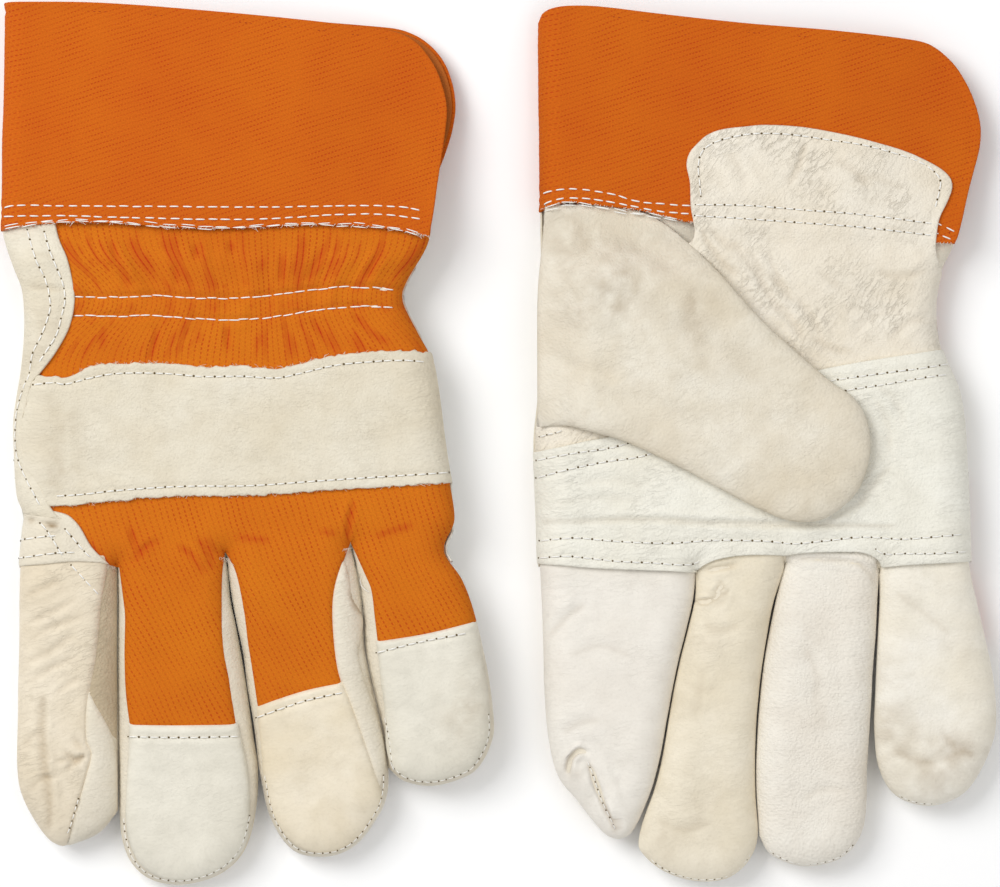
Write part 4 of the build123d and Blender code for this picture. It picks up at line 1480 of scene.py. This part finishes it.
def finger_caps(glove, caps, sewing):
    """The leather caps, each with a row across it and one round the fingertip."""
    side = glove.back
    for k, loop, row, material in caps:
        finger = FINGERS[k]
        relief = grooved(soft_folds(200 + k, 1.1), [row], 0.45)
        # the little cap's darker right side is painted shade
        shade = stain_and_shade_spots(shifted(LITTLE_CAP_SIDE_SHADE, glove.back_shift), 69) if finger == "little" else None
        cap = panel(side, loop, 0.95, LEATHER, TURNED, relief, lift=0.35, tone=shade)
        bind(glove, cap, f"{finger}_cap", MATERIALS[material],
             {(finger, "tip"): [f"{glove.name}_{finger}_tip_cap"]})
        sewing.row(side, row, FINE, 0.75 + LEATHER, 170 + k, relief)
        sewing.row(side, finger_edge(glove, k, row[-1][1] - 24, 1.9), SMALL, 0.4 + LEATHER, 180 + k)


def make_back(glove, back, index, caps, extras=()):
    """Everything sewn on a back.

    caps are finger number, loop, row and material. extras are the leather walls that only the left glove
    shows: piece, outline, material, thickness, seed and creases."""
    side, by = glove.back, glove.back_shift
    sewing, fibres = Sewing(), []
    orange_back(glove, back, sewing)
    index_back(glove, index, extras, sewing)
    back_strips(glove, sewing)
    for k, (line, reach) in enumerate(((STRAP_TOP[3:], 1.5), (STRAP_FOOT, 1.2))):
        edge = spline(shifted(line, by), ROW_STEP)
        fibres.append(fray(side, edge, 1.6, reach, COTTON + 0.9, 140 + k, outward=-1, radius=0.065))
    if glove is LEFT:
        sewing.row(side, spline(RING_LOOSE_END, 0.4), Thread(5.6, 1.0, 0.15), 1.3, 148)
        for k, line in enumerate(CROTCH_FIBRES):
            fibres.append(fray(side, spline(line, 0.5), 6.0, 1.6, 1.0, 145 + k, radius=0.07))
    finger_caps(glove, caps, sewing)
    sewing.bind(glove)
    bind(glove, join(fibres), "loose_fibres", MATERIALS["fibre"])


def make_left_back():
    """The back that lies uppermost, as it is drawn."""
    side = LEFT.back
    caps = [
        (k, loop_on(side, outline, 1.0), spline(row, ROW_STEP), material)
        for k, outline, row, material in (
            (1, LEFT_MIDDLE_CAP, MIDDLE_CAP_ROW, "cap"),
            (2, LEFT_RING_CAP, RING_CAP_ROW, "warm_cap"),
            (3, LEFT_LITTLE_CAP, LITTLE_CAP_ROW, "cap"),
        )
    ]
    extras = (("index_wall", INDEX_WALL, "wall", 0.35, 34, []),
              ("index_bulge", INDEX_BULGE, "hand", 1.3, 35, []),
              ("ring_wall", RING_WALL, "hand", 0.9, 36, RING_WALL_CREASES))
    make_back(LEFT, LEFT_BACK, loop_on(side, INDEX_BACK, 1.2), caps, extras)


RIGHT_RADIAL_EDGE = [(20.4, 70, 0), (23.4, 45), (19.4, 22), (15.4, 5), (16.4, -12), (21.4, -21), (31.4, -29),
                     (48, -37.5, 0)]
RIGHT_ULNAR_EDGE = [(138.5, -37), (138, -8), (136, 14), (131, 28), (129.5, 40), (131, 50), (135, 61),
                    (135, 70, 0)]
RIGHT_CAPS = ((1, -84, (2.0, 5.0), "cap"), (2, -78, (1.8, 8.5), "warm_cap"), (3, -60, (1.7, 0.5), "cap"))


def make_right_back():
    """The same back on the right glove, whose fingers lie differently."""
    side = RIGHT.back
    outline = list(RIGHT_RADIAL_EDGE)
    caps = []
    for k, end, (near, far), material in RIGHT_CAPS:
        crotch = RIGHT.dividers[k][0]
        outline.append((crotch[0], crotch[1] + 1.5, 0))
        levels = np.linspace(crotch[1] - 6, end, 5)
        spans = [span(RIGHT, k, y) for y in levels]
        outline += [(low + near, y) for (low, _), y in zip(spans[:-1], levels)]
        outline.append((spans[-1][0] + near, end - 1.5, 0))
        outline.append((spans[-1][1] - far, end - 1.5, 0))
        outline += [(high - far, y) for (_, high), y in list(zip(spans, levels))[-2::-1]]
        low, high = span(RIGHT, k, end - 4)
        row = spline([(low + 1.5, end - 4), (high - 1.5, end - 4)], ROW_STEP)
        caps.append((k, clean(side.flat(finger_loop(RIGHT, k, end, 0.9))), row, material))
    outline += RIGHT_ULNAR_EDGE
    index = clean(side.flat(finger_loop(RIGHT, 0, -36, 0.3, raised=4.0)))
    make_back(RIGHT, outline, index, caps)


# ------------------------------------------------------------------ the palms, drawn on the right glove


PATCH_TOP = [(9, -3.2), (12.1, -2.5), (24.7, 0.5), (31.7, 1.9), (45, 6), (60, 11), (80, 17.5), (96.5, 22.2),
             (113.2, 25.3)]
PATCH = [*PATCH_TOP, (132.8, 28.2, 0), (138, 20), (141, 6), (142, -10), (142.5, -24), (143, -35.6, 0),
         (132, -36), (121, -36.6), (115.5, -36.8), (113.5, -34.6), (110, -33), (105, -32.6), (90, -32.9),
         (81, -33.4), (72, -33.7), (65, -34.9), (61.5, -36.4), (58.9, -38.6), (50, -38.3), (38, -37.9),
         (27, -37.4), (18, -36.6), (9.5, -36, 0), (9, -20)]
PATCH_ROWS = [
    [(11.6, -5.1), (20.4, -3.2), (35.2, -0.8), (60, 7.5), (80, 14), (98.9, 18.7), (111.4, 20.6), (122, 22),
     (134.3, 23.5)],
    [(11.6, -10.4), (20.4, -7.8), (30.9, -5.6), (44, -3.4), (62, 4), (82, 10.5), (104.4, 16), (115.8, 17.8),
     (126.4, 19.6), (136.2, 20.6)],
    [(12.6, -29.2), (22.1, -28.3), (30.9, -29), (39.6, -29.6), (51, -29.9), (58, -29.4), (65, -29),
     (81.3, -29.3), (90.6, -29.8), (100, -28.9), (107.4, -28.1), (113, -28.2), (120.4, -28.7), (127.9, -28.2),
     (140.5, -27)],
    [(12.6, -34.4), (19.5, -33.8), (26.5, -34.4), (35.2, -35.3), (45.7, -35.8), (54.5, -36.2), (60.6, -34.6)],
    [(112.6, -31.4), (115, -32.6), (122, -33), (130, -33), (140.5, -32.4)],
]
TAB = [
    (57.7, 61), (57.2, 72), (57, 78.5), (56, 83.8), (56.9, 87.3), (59.1, 89.9), (62.1, 92.6), (66.5, 94.3),
    (73.6, 95.2), (79.7, 95.7), (91.2, 95), (104.4, 92.6), (113.2, 90.4), (122, 87.8), (129, 84.7),
    (133.4, 82), (135.6, 79.4), (135.9, 76.7), (134.3, 72.4), (132.1, 68), (131.2, 63.5), (131, 57),
    (133, 50), (132, 40), (134, 30), (136, 20, 0), (100, 12, 0), (60, 4, 0), (36, -2, 0), (10, -6, 0),
    (9, 20), (9, 50), (20, 57), (46, 58),
]
TAB_BORDER = [(60.3, 74), (59.9, 78.5), (59.5, 82.9), (60.4, 87.2), (62.9, 89.7), (68.3, 91.7), (76.2, 93),
              (86.8, 92.8), (100, 91), (108.8, 89.7), (117.6, 87.5), (125.5, 84.9), (129.9, 82.3),
              (132.3, 79.2), (132.1, 76.4), (130.8, 71.5), (129.6, 67.8)]
TAB_ROWS = [
    [(58.4, 71.7), (73.6, 71.5), (91.2, 70.1), (108.8, 68.7), (131.6, 65.8)],
    [(58.4, 68.4), (73.6, 67.5), (91.2, 66.2), (108.8, 64.9), (131, 62.4)],
]
TAB_CLIMB = (52.0, 66.0)  # the Y values between which the tab climbs from the palm onto the cuff
THUMB_SEAM = [(12.2, 2), (14.5, 2.6), (17.5, 3.4), (20.6, 5)]
BEAK = [(26.1, -95.2), (27.8, -99.2), (29.6, -104.4), (31.3, -108.8), (33.5, -113.2), (35.3, -118)]
HOOK = [(20.4, -100), (20.8, -96.5), (21.7, -93.9), (23.9, -92.4), (26.5, -92.9)]
FRONT_CREASES = {
    "index": [
        (HOOK, 2.2, 0.7), (BEAK, 1.4, 0.7), ([(29.6, -94.8), (32, -98.5), (34, -104), (35.5, -110)], -0.6,
                                             1.8),
        ([(22.5, -96), (24.6, -101), (27, -107)], -0.7, 1.8), ([(14.2, -59), (20.4, -52), (26.5, -47.6)],
                                                               0.5, 1.8),
        ([(20, -64), (30, -61), (40, -64)], 0.3, 2.4), ([(18, -88), (24, -84), (31, -83)], 0.4, 2.0),
    ],
    "middle": [
        ([(66.7, -40.4), (65.6, -44.9), (62.6, -47.6), (58, -47.4)], 1.9, 0.7),
        ([(61, -38.5), (66, -37.5), (72, -36.5)], 1.0, 0.8), ([(68.4, -42), (67.4, -46), (64, -50)], 0.9,
                                                              0.8),
        ([(60.5, -54), (66, -56), (73, -54)], 0.4, 1.6), ([(54, -70), (60, -74), (67, -73)], 0.3, 2.0),
        ([(46, -112), (54, -116), (64, -114)], 0.4, 2.0), ([(61, -66), (60, -76), (58, -84)], 0.3, 1.4),
    ],
    "ring": [
        ([(88, -34.6), (98, -34.9), (107, -36), (111, -39), (112.4, -43)], 0.7, 0.7),
        ([(91, -60), (95, -70), (94, -80)], 0.35, 2.2), ([(90, -108), (97, -104), (106, -105)], 0.3, 1.4),
    ],
    "little": [
        ([(118, -44), (126, -50), (136, -58)], 0.4, 1.8), ([(118, -92), (128, -96), (140, -92)], 0.5, 2.0),
        ([(132, -86), (137, -91), (143, -94)], 0.4, 1.4),
    ],
}
FRONT_STAINS = {
    "index": ([(22, -98, 3, 0.3), (15, -70, 6, 0.08)], 67),
    "middle": ([(62, -112, 9, 0.15), (62, -60, 7, 0.15), (49, -120, 5, 0.3), (55, -78, 5, 0.12)], 65),
    "ring": ([(92, -60, 6, 0.12), (96, -80, 7, 0.10), (82, -56, 4, 0.15)], 64),
    "little": ([(116, -68, 5, 0.2), (118, -79, 7, 0.2), (117, -88, 6, 0.24), (125, -93, 9, 0.2),
                (137, -92, 6, 0.32), (144, -94, 5, 0.26), (130, -100, 8, 0.24), (138, -60, 6, 0.1)], 63),
}
PALM_CREASES = [
    ([(60, 66), (62.5, 60), (67, 54), (72, 50)], 0.7, 1.0), ([(62, 66), (66, 61), (72, 58)], 0.6, 1.0),
    ([(69, 62), (76, 52), (80, 45)], 0.5, 1.1), ([(73, 60), (79, 52), (86, 46)], 0.5, 1.1),
    ([(76, 55), (80, 46), (84, 38)], 0.6, 1.0), ([(80, 58), (84, 49), (89, 41)], 0.5, 1.1),
    ([(82, 43), (88, 36), (92, 30)], 0.6, 1.1), ([(88, 45), (94, 37), (97, 30)], 0.5, 1.1),
    ([(92, 33), (98, 29), (107, 27)], 0.5, 1.1), ([(95, 52), (104, 46), (116, 44)], 0.4, 1.5),
    ([(104, 31), (112, 38), (122, 41)], 0.4, 1.5), ([(112, 52), (120, 50), (129, 52)], 0.5, 1.3),
    ([(116, 30), (122, 36), (129, 38)], 0.5, 1.2), ([(92, 92), (90, 84), (86, 77)], 0.7, 0.9),
    ([(100, 86), (106, 82), (112, 76)], 0.5, 1.3), ([(104, 78), (112, 80), (122, 76)], 0.4, 1.4),
    ([(68, 88), (73, 80), (72, 74)], 0.35, 1.6),
]
PATCH_CREASES = [
    ([(12, -23.4), (26, -23.3), (45, -22.9), (60, -23.8), (80, -24.2), (100, -24.5), (120, -25)], 1.0, 0.9),
    ([(24, -12), (34, -11), (44, -13)], 0.35, 1.6), ([(16, -18), (30, -16.5), (44, -17.5)], 0.35, 1.6),
    ([(112, 14), (116, 6), (117, -4)], 0.4, 1.6), ([(107, -19), (112, -12), (118, -6)], 0.5, 1.2),
    ([(96, -24), (104, -20), (112, -16)], 0.5, 1.2), ([(112, 18), (119, 12), (121, 4)], 0.4, 1.4),
]


def finger_fronts(glove, side, tones, sewing):
    """The four finger fronts, each a leather of its own tone, with a row of stitches round each tip."""
    tips = {"left": (-112, -124, -116, -95), "right": (None, -123, -121, -101)}[glove.name]
    for k, finger in enumerate(FINGERS):
        loop = clean(side.flat(finger_loop(glove, k, -36, raised=6.0)))
        creases = FRONT_CREASES[finger] if glove is RIGHT else []
        step = 0.6 if creases and finger == "index" else 1.0
        front = panel(side, loop, step, 0.7, TURNED, creased(soft_folds(300 + 9 * k, 1.1), creases), lift=0.1,
                      tone=crease_shade(creases, tones.get(finger), 0.35))
        bind(glove, front, f"{finger}_front", MATERIALS[f"{finger}_front"])
        if tips[k]:
            sewing.row(side, finger_edge(glove, k, tips[k], 0.9), SMALL, 0.85, 310 + k)


def make_palm(glove, side):
    """Everything sewn on a palm, apart from the thumb: the patch, the tab and the finger fronts."""
    name, by = glove.name, glove.shift
    sewing = Sewing()
    tones = {}
    if glove is RIGHT:
        tones = {finger: stain_and_shade_spots(spots, seed) for finger, (spots, seed) in FRONT_STAINS.items()}
        sewing.row(side, spline(BEAK, ROW_STEP), SMALL, 0.45, 320)
    finger_fronts(glove, side, tones, sewing)

    bridge = Bridge(side, glove.palm_strip, *TAB_CLIMB)
    tab_border = spline(TAB_BORDER, ROW_STEP) + (by, 0)
    tab_rows = [spline(row, ROW_STEP) + (by, 0) for row in TAB_ROWS]
    creases = creases_shifted(PALM_CREASES, by)
    relief = grooved(creased(soft_folds(41, 1.2), creases), [tab_border, *tab_rows], 0.35)
    tab = panel(bridge, loop_on(bridge, shifted(TAB, by), 1.1), 1.0, LEATHER - 0.1, RAW, relief, lift=0.1,
                tone=crease_shade(creases))
    bind(glove, tab, "palm_leather", MATERIALS["palm"], {"hand": [f"{name}_palm_tab"]})
    sewing.row(bridge, tab_border, FINE, LEATHER + STITCH_RISE, 400, relief)
    for k, row in enumerate(tab_rows):
        sewing.row(bridge, row, FINE, LEATHER + STITCH_RISE, 401 + k, relief)
    sewing.row(side, spline(shifted(THUMB_SEAM, by), ROW_STEP), SMALL, LEATHER + 0.1, 404)

    rows = rows_shifted(PATCH_ROWS, by)
    creases = creases_shifted(PATCH_CREASES, by)
    relief = grooved(creased(soft_folds(43, 1.1), creases), rows, 0.4)
    patch = panel(side, loop_on(side, shifted(PATCH, by), 1.1), 1.05, LEATHER, RAW, relief,
                  lift=LEATHER - 0.1, tone=crease_shade(creases, strength=0.25))
    bind(glove, patch, "palm_patch", MATERIALS["patch"], {"hand": [f"{name}_palm_patch"]})
    for k, row in enumerate(rows):
        sewing.row(side, row, FINE, 2 * LEATHER + 0.25, 410 + k, relief)

    sewing.bind(glove, "palm_")


# ------------------------------------------------------------------ thumbs


THUMB_BASE = {
    "right": [(13.6, 72, 0), (12.6, 60), (11.3, 45), (11.2, 20), (11.2, 5, 0)],
    "left": [(14.4, 72, 0), (14.4, 60), (15.6, 52), (16.6, 45), (16.8, 36), (15.9, 24), (13.9, 12),
             (12.9, 5, 0)],
}
THUMB = [
    (20.5, 5.2), (24.7, 4.1), (37, 0.7), (46.6, -3.6), (58, -9.3), (70.2, -15.9), (78.5, -20), (84.1, -22.4),
    (90.2, -23.6), (96.2, -22.8), (101.8, -19.6), (106.5, -14.9), (109.3, -9.3), (110.8, -2.5), (110.3, 5),
    (108.3, 10.5), (105, 14.5), (100, 17.8), (94.7, 22.2), (87.7, 28.4), (78.9, 36.3), (71.8, 44.2),
    (64.8, 52.1), (57.7, 59.2), (50.7, 65.3), (42.8, 69.7), (30, 71.8),
]
THUMB_CREASES = [
    ([(14, 28), (24, 22), (38, 21)], 0.45, 2.2),
    ([(30, 64), (44, 58), (56, 50)], 0.4, 2.4),
    ([(60, 20), (76, 8), (92, 3)], 0.3, 3.0),
]
TUCK_START = {"right": 46, "left": 38}  # Y at which a thumb starts to sink under its cuff
TUCK_BASE = 24  # the tuck is as long as its start's distance from this Y
TUCKED_LEVEL = 4.0  # the sunk end's height over the palm's middle
LEFT_END = 44  # Y past which the left thumb is drawn short
THUMB_SLIM = 0.93  # of the CAD thumb's thickness, which leaves room for folds
THUMB_STAINS = [
    (26, 64, 10, 0.26), (40, 52, 11, 0.32), (34, 44, 7, 0.38), (22, 38, 6, 0.26), (59, 42, 5, 0.36),
    (57, 33, 6, 0.3), (20, 56, 8, 0.18), (70, 24, 8, 0.1), (16, 66, 6, 0.24),
]


def make_thumb(glove):
    """A thumb's leather skin, whose root is tucked under the cuff and towards the palm's edge."""
    name, by = glove.name, glove.shift
    up = 1 if glove is RIGHT else -1  # the palm's way
    palm_level = glove.form.middle(np.zeros(1), np.zeros(1))[0]
    low = box_mm(f"{name}_thumb_inner")
    high = box_mm(f"{name}_thumb_outer")
    near = min(abs(low[0][2] - palm_level), abs(low[1][2] - palm_level))
    far = max(abs(high[0][2] - palm_level), abs(high[1][2] - palm_level))
    body_middle, body_half = (near + far) / 2, (far - near) / 2 * THUMB_SLIM
    tuck_start = TUCK_START[name]

    def tuck(x, y):
        """How far a place is towards the cuff, and towards the palm's edge: 0 to 1 each."""
        under_cuff = smooth((y - tuck_start) / (tuck_start - TUCK_BASE))
        at_side = smooth((28 - (x - by)) / 16)
        return under_cuff, at_side

    def middle(x, y):
        under_cuff, at_side = tuck(x, y)
        drop = 1 - (1 - under_cuff) * (1 - 0.78 * at_side)
        return palm_level + up * (body_middle - drop * (body_middle - TUCKED_LEVEL))

    def half(x, y):
        under_cuff, at_side = tuck(x, y)
        return body_half * (1 - 0.72 * under_cuff) * (1 - 0.1 * at_side) * (1 + 0.05 * noise(x, y, 25, 8))

    outline = shifted(THUMB_BASE[name] + THUMB, by)
    if glove is LEFT:  # this thumb ends short of the cuff, so that the cuff clears it as the wrist bends
        outline = [(x, min(y, LEFT_END + (y - LEFT_END) * 0.6), *rest) for x, y, *rest in outline]
    form = Form(spline(outline, OUTLINE_STEP, closed=True), middle, half, 8.0)
    outer = creased(soft_folds(45, 1.3), creases_shifted(THUMB_CREASES, by))
    tone = stain_and_shade_spots(shifted(THUMB_STAINS, by), 66)
    inner = soft_folds(46)
    above, below = (outer, inner) if glove is RIGHT else (inner, outer)
    skin = shell(form, 1.3, above, below, tone)
    obj = simple(skin, f"{name}_thumb_skin", MATERIALS["thumb"],
                 [f"{name}_thumb_inner", f"{name}_thumb_outer"])
    glove.bend_thumb(obj)


# ------------------------------------------------------------------ cuffs


LEFT_CUFF = [
    (-21.3, 61.8, 0), (-20, 68.5), (-18.6, 79), (-16.6, 92.5), (-16, 101.5), (-18.3, 110.5), (-21.2, 116),
    (-25.5, 121), (-31, 123.8), (-37.5, 125), (-69, 128.5), (-99, 131.2), (-112, 132.2), (-126, 132.9),
    (-149, 133, 0),
]
LEFT_CUFF_UNDER = [
    (-22.3, 63, 0), (-21, 70), (-19.4, 79), (-16.2, 88), (-14.2, 95), (-13.4, 102), (-14.6, 109.5),
    (-17.6, 116.2), (-22.8, 121.6), (-29.4, 124.8), (-37.5, 126), (-69, 128.8), (-99, 131.5), (-126, 133),
    (-149, 133, 0),
]
RIGHT_CUFF = [
    (136.6, 60, 0), (137.8, 63), (140.9, 75.9), (142.6, 82), (144.4, 89.1), (144.7, 95.2), (143.1, 102.3),
    (140, 109.3), (136, 115), (129.9, 119.9), (123.7, 121.6), (100, 124.3), (73.6, 126.5), (47.2, 129.4),
    (29.6, 131.5), (20.8, 131.7), (16, 131), (13.3, 129.4), (12.4, 127, 0),
]
RIGHT_CUFF_UNDER = [
    (135.8, 61, 0), (137.2, 65), (140.3, 77), (143.4, 90), (143.8, 96), (142.3, 102.3), (139.2, 109),
    (135.2, 114.6), (129.5, 119.3), (123, 121.2), (100, 124), (73.6, 126.3), (47.2, 129.2), (28.5, 131.2),
    (18, 131), (12.4, 127, 0),
]
LEFT_CUFF_FOOT = [(-21.3, 61.8), (-32, 64), (-45, 65.2), (-60, 65.3), (-80, 64.3), (-96, 64.6), (-115, 65.8),
                  (-130, 66), (-142, 65), (-149, 63.6)]
RIGHT_CUFF_FOOT = [(136.6, 60), (130, 60.5), (118, 64), (105, 66.3), (80, 67), (66, 66.6), (57, 66.4),
                   (50, 68), (42, 70), (36, 70.8), (27, 71.8), (20, 72.4), (15, 71), (12.4, 69.6)]
LEFT_CUFF_ROWS = [
    [(-148.6, 70.4), (-145, 71.2), (-130, 71.1), (-100, 70.9), (-70, 70.7), (-45, 71.2), (-30, 70.8),
     (-20.4, 69.2)],
    [(-148.6, 68), (-130, 68.1), (-110, 67.6), (-88, 67.1), (-70, 67.2), (-50, 68.4), (-35, 68.5),
     (-20.8, 66.8)],
]
LEFT_CUFF_LOOSE_ROW = [(-148.2, 64.6), (-138, 66.6), (-125, 67), (-110, 66.2), (-96, 65.4), (-80, 65),
                       (-60, 65.9), (-45, 65.9), (-32, 64.9), (-21.6, 62.6)]
RIGHT_CUFF_ROWS = [
    [(12.9, 75), (16, 76), (20.8, 76.5), (27, 76.1), (34.9, 74.6), (41, 72.8), (49.8, 71.9), (58, 71.4)],
    [(12.9, 71.5), (16, 73), (20.8, 73.8), (27, 73.4), (34.9, 72.2), (41, 71), (49.8, 69.5), (58, 69)],
    [(130, 66.8), (132.1, 65.8), (138.4, 62.7)],
    [(129, 63.9), (133, 62.4), (137.4, 60.6)],
]
RIGHT_CUFF_LOOSE_ROW = [(13, 70.4), (20, 72.2), (30, 71.2), (40, 69.6), (50, 68), (58, 67)]
CUFF_SEEDS = {"left": 500, "right": 520}
CUFF_STEP = 1.2  # between the points of a cuff's outline
CUFF_RADIUS = 5.5  # of the strip's fold, in plan
CUFF_HALF = 5.1  # half the cuff's thickness where nothing pinches it


def cuff_half(open_side):
    """Half the thickness of a cuff, which is pinched towards the mouth at its open side."""
    def half(x, y):
        pinch = 1 - 0.62 * smooth((x - open_side + 46) / 42) * smooth((y - 66) / 20)
        return CUFF_HALF * pinch * (1 + 0.05 * noise(x, y, 40, 9)) * (1 - 0.12 * smooth((y - 100) / 30))
    return half


def cuff_strips():
    """The surface of each cuff. cloth is how far its outer face stands above that surface."""
    for glove, outline, middle in ((LEFT, LEFT_CUFF, left_middle), (RIGHT, RIGHT_CUFF, right_middle)):
        fold = outline[-1][0]
        half = cuff_half(max(p[0] for p in outline))
        glove.cuff_strip = FoldedStrip(fold, middle, half, CUFF_RADIUS, 1)
        glove.palm_strip = FoldedStrip(fold, middle, half, CUFF_RADIUS, 1 if glove is RIGHT else -1)
        glove.cuff_strip.cloth = glove.palm_strip.cloth = COTTON


def cuff_waves(seed):
    """The stiff cotton's broad, shallow waves."""
    def relief(x, y):
        return (0.5 * noise(x, y, 38, seed) + 0.22 * noise(x, y, 15, seed + 1)
                + 0.05 * noise(x, y, 4, seed + 2))
    return relief


def make_cuff(glove, outline, under, foot, rows, loose_row):
    """The folded cuff, its lining, its rows of stitches and its loose fibres."""
    name, strip = glove.name, glove.cuff_strip
    rows = rows_shifted(rows, 0)
    loose_row = spline(loose_row, ROW_STEP)
    foot_line = spline(foot, CUFF_STEP)
    top = strip.flat(spline(outline, CUFF_STEP))
    lower = strip.flat(spline(under, CUFF_STEP), layer=-1)[::-1]
    foot_top = strip.flat(foot_line)[::-1]
    foot_low = strip.flat(foot_line, layer=-1)
    loop = clean(np.concatenate([top[:-1], lower, foot_low[1:], foot_top[1:]]))
    hem = line_beside(outline, 2.7)
    seed = CUFF_SEEDS[name]
    waves = cuff_waves(seed)
    folds = grooved(waves, [*rows, loose_row], 0.3)

    def relief(x, y):
        hem_line = -0.32 * np.exp(-((distance_to([hem], x, y) / 0.5) ** 2))
        return folds(x, y) + hem_line

    def ride_cuff(mesh, piece, material, nodes=()):
        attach(simple(mesh, f"{name}_cuff_{piece}", MATERIALS[material], nodes), f"{name}_cuff")

    outer = panel(strip, loop, 1.35, COTTON, RAW, relief, sink=-0.05)
    ride_cuff(outer, "drill", "cuff", [f"{name}_cuff_outer"])
    centre = (0, 0.5 * (foot_line[:, 1].mean() + top[:, 1].max()))
    inner_loop = centre + (loop - centre) * (0.992, 0.975)
    lining = panel(strip, inner_loop, 2.4, 0.7, RAW, waves, lift=-0.85, sink=0.1)
    ride_cuff(lining, "inside", "lining", [f"{name}_cuff_lining"])

    thread = [stitches(strip, row, BOLD, COTTON + 0.3, seed + k, relief)[0] for k, row in enumerate(rows)]
    for k, drop in enumerate((0.0, 0.7)):
        row = loose_row - (0, drop)
        thread.append(stitches(strip, row, LOOSE, COTTON + 0.3, seed + 8 + 5 * k, relief)[0])
    ride_cuff(join(thread), "thread", "thread")
    hem_thread = stitches(strip, hem, HEM, COTTON - 0.02, seed + 9, relief)[0]
    ride_cuff(hem_thread, "hem", "hem")
    fuzz = [fray(strip, foot_line, 2.2, 1.0, 0.7, seed + 10, outward=-1),
            fray(strip, foot_line, 0.4, 1.7, 0.95, seed + 11, outward=-1, radius=0.1)]
    ride_cuff(join(fuzz), "fray", "fibre")
    orange_fuzz = fray(strip, foot_line, 1.6, 1.2, 0.5, seed + 12, outward=-1, radius=0.1)
    ride_cuff(orange_fuzz, "orange_fray", "lining")


cuff_strips()
make_shells()
make_left_back()
make_right_back()
make_palm(RIGHT, RIGHT.palm)
make_palm(LEFT, LEFT.palm)
make_thumb(RIGHT)
make_thumb(LEFT)
make_cuff(LEFT, LEFT_CUFF, LEFT_CUFF_UNDER, LEFT_CUFF_FOOT, LEFT_CUFF_ROWS, LEFT_CUFF_LOOSE_ROW)
make_cuff(RIGHT, RIGHT_CUFF, RIGHT_CUFF_UNDER, RIGHT_CUFF_FOOT, RIGHT_CUFF_ROWS, RIGHT_CUFF_LOOSE_ROW)

# ------------------------------------------------------------------ studio, in metres


LAMPS = {  # place, size and power
    "key": ((-0.75, 0.55, 1.15), 0.8, 13.0),
    "fill": ((0.9, -0.3, 1.2), 1.2, 3.5),
    "top": ((0.0, 0.0, 1.6), 1.6, 4.0),
}
FLOOR_HALF = 3
FLOOR_GAP = 0.0003  # between the floor and the gloves
PICTURE_WIDTH = 0.300  # what the camera sees from side to side, at the height PICTURE_LEVEL
PICTURE_LEVEL = 0.016


def studio():
    """A white floor, three soft lamps and a pale world."""
    floor_mesh = bpy.data.meshes.new("floor")
    corners = [(x * FLOOR_HALF, y * FLOOR_HALF, 0) for x, y in ((-1, -1), (1, -1), (1, 1), (-1, 1))]
    floor_mesh.from_pydata(corners, [], [(0, 1, 2, 3)])
    floor = bpy.data.objects.new("floor", floor_mesh)
    floor.location.z = -FLOOR_GAP
    bpy.context.scene.collection.objects.link(floor)
    paint = bpy.data.materials.new("pale_floor")
    paint.use_nodes = True
    shader = paint.node_tree.nodes["Principled BSDF"]
    shader.inputs["Base Color"].default_value = (1.0, 1.0, 1.0, 1)
    shader.inputs["Roughness"].default_value = 0.9
    floor_mesh.materials.append(paint)
    for name, (place, size, power) in LAMPS.items():
        light = bpy.data.lights.new(name, "AREA")
        light.energy, light.size = power, size
        lamp = bpy.data.objects.new(name, light)
        lamp.location = place
        lamp.rotation_mode = "QUATERNION"
        lamp.rotation_quaternion = Vector(place).to_track_quat("Z", "Y")
        bpy.context.scene.collection.objects.link(lamp)
    world = bpy.context.scene.world or bpy.data.worlds.new("world")
    bpy.context.scene.world = world
    world.use_nodes = True
    background = world.node_tree.nodes["Background"]
    background.inputs["Color"].default_value = (1, 1, 1, 1)
    background.inputs["Strength"].default_value = 0.42
    bpy.context.scene.view_settings.view_transform = "Standard"


def camera():
    """Straight above the pair, far off with a long lens."""
    data = bpy.data.cameras.new("camera")
    data.lens, data.sensor_width = 200, 36
    cam = bpy.data.objects.new("camera", data)
    cam.location = (0, 0, PICTURE_LEVEL + PICTURE_WIDTH * data.lens / data.sensor_width)
    bpy.context.scene.collection.objects.link(cam)
    bpy.context.scene.camera = cam


studio()
camera()
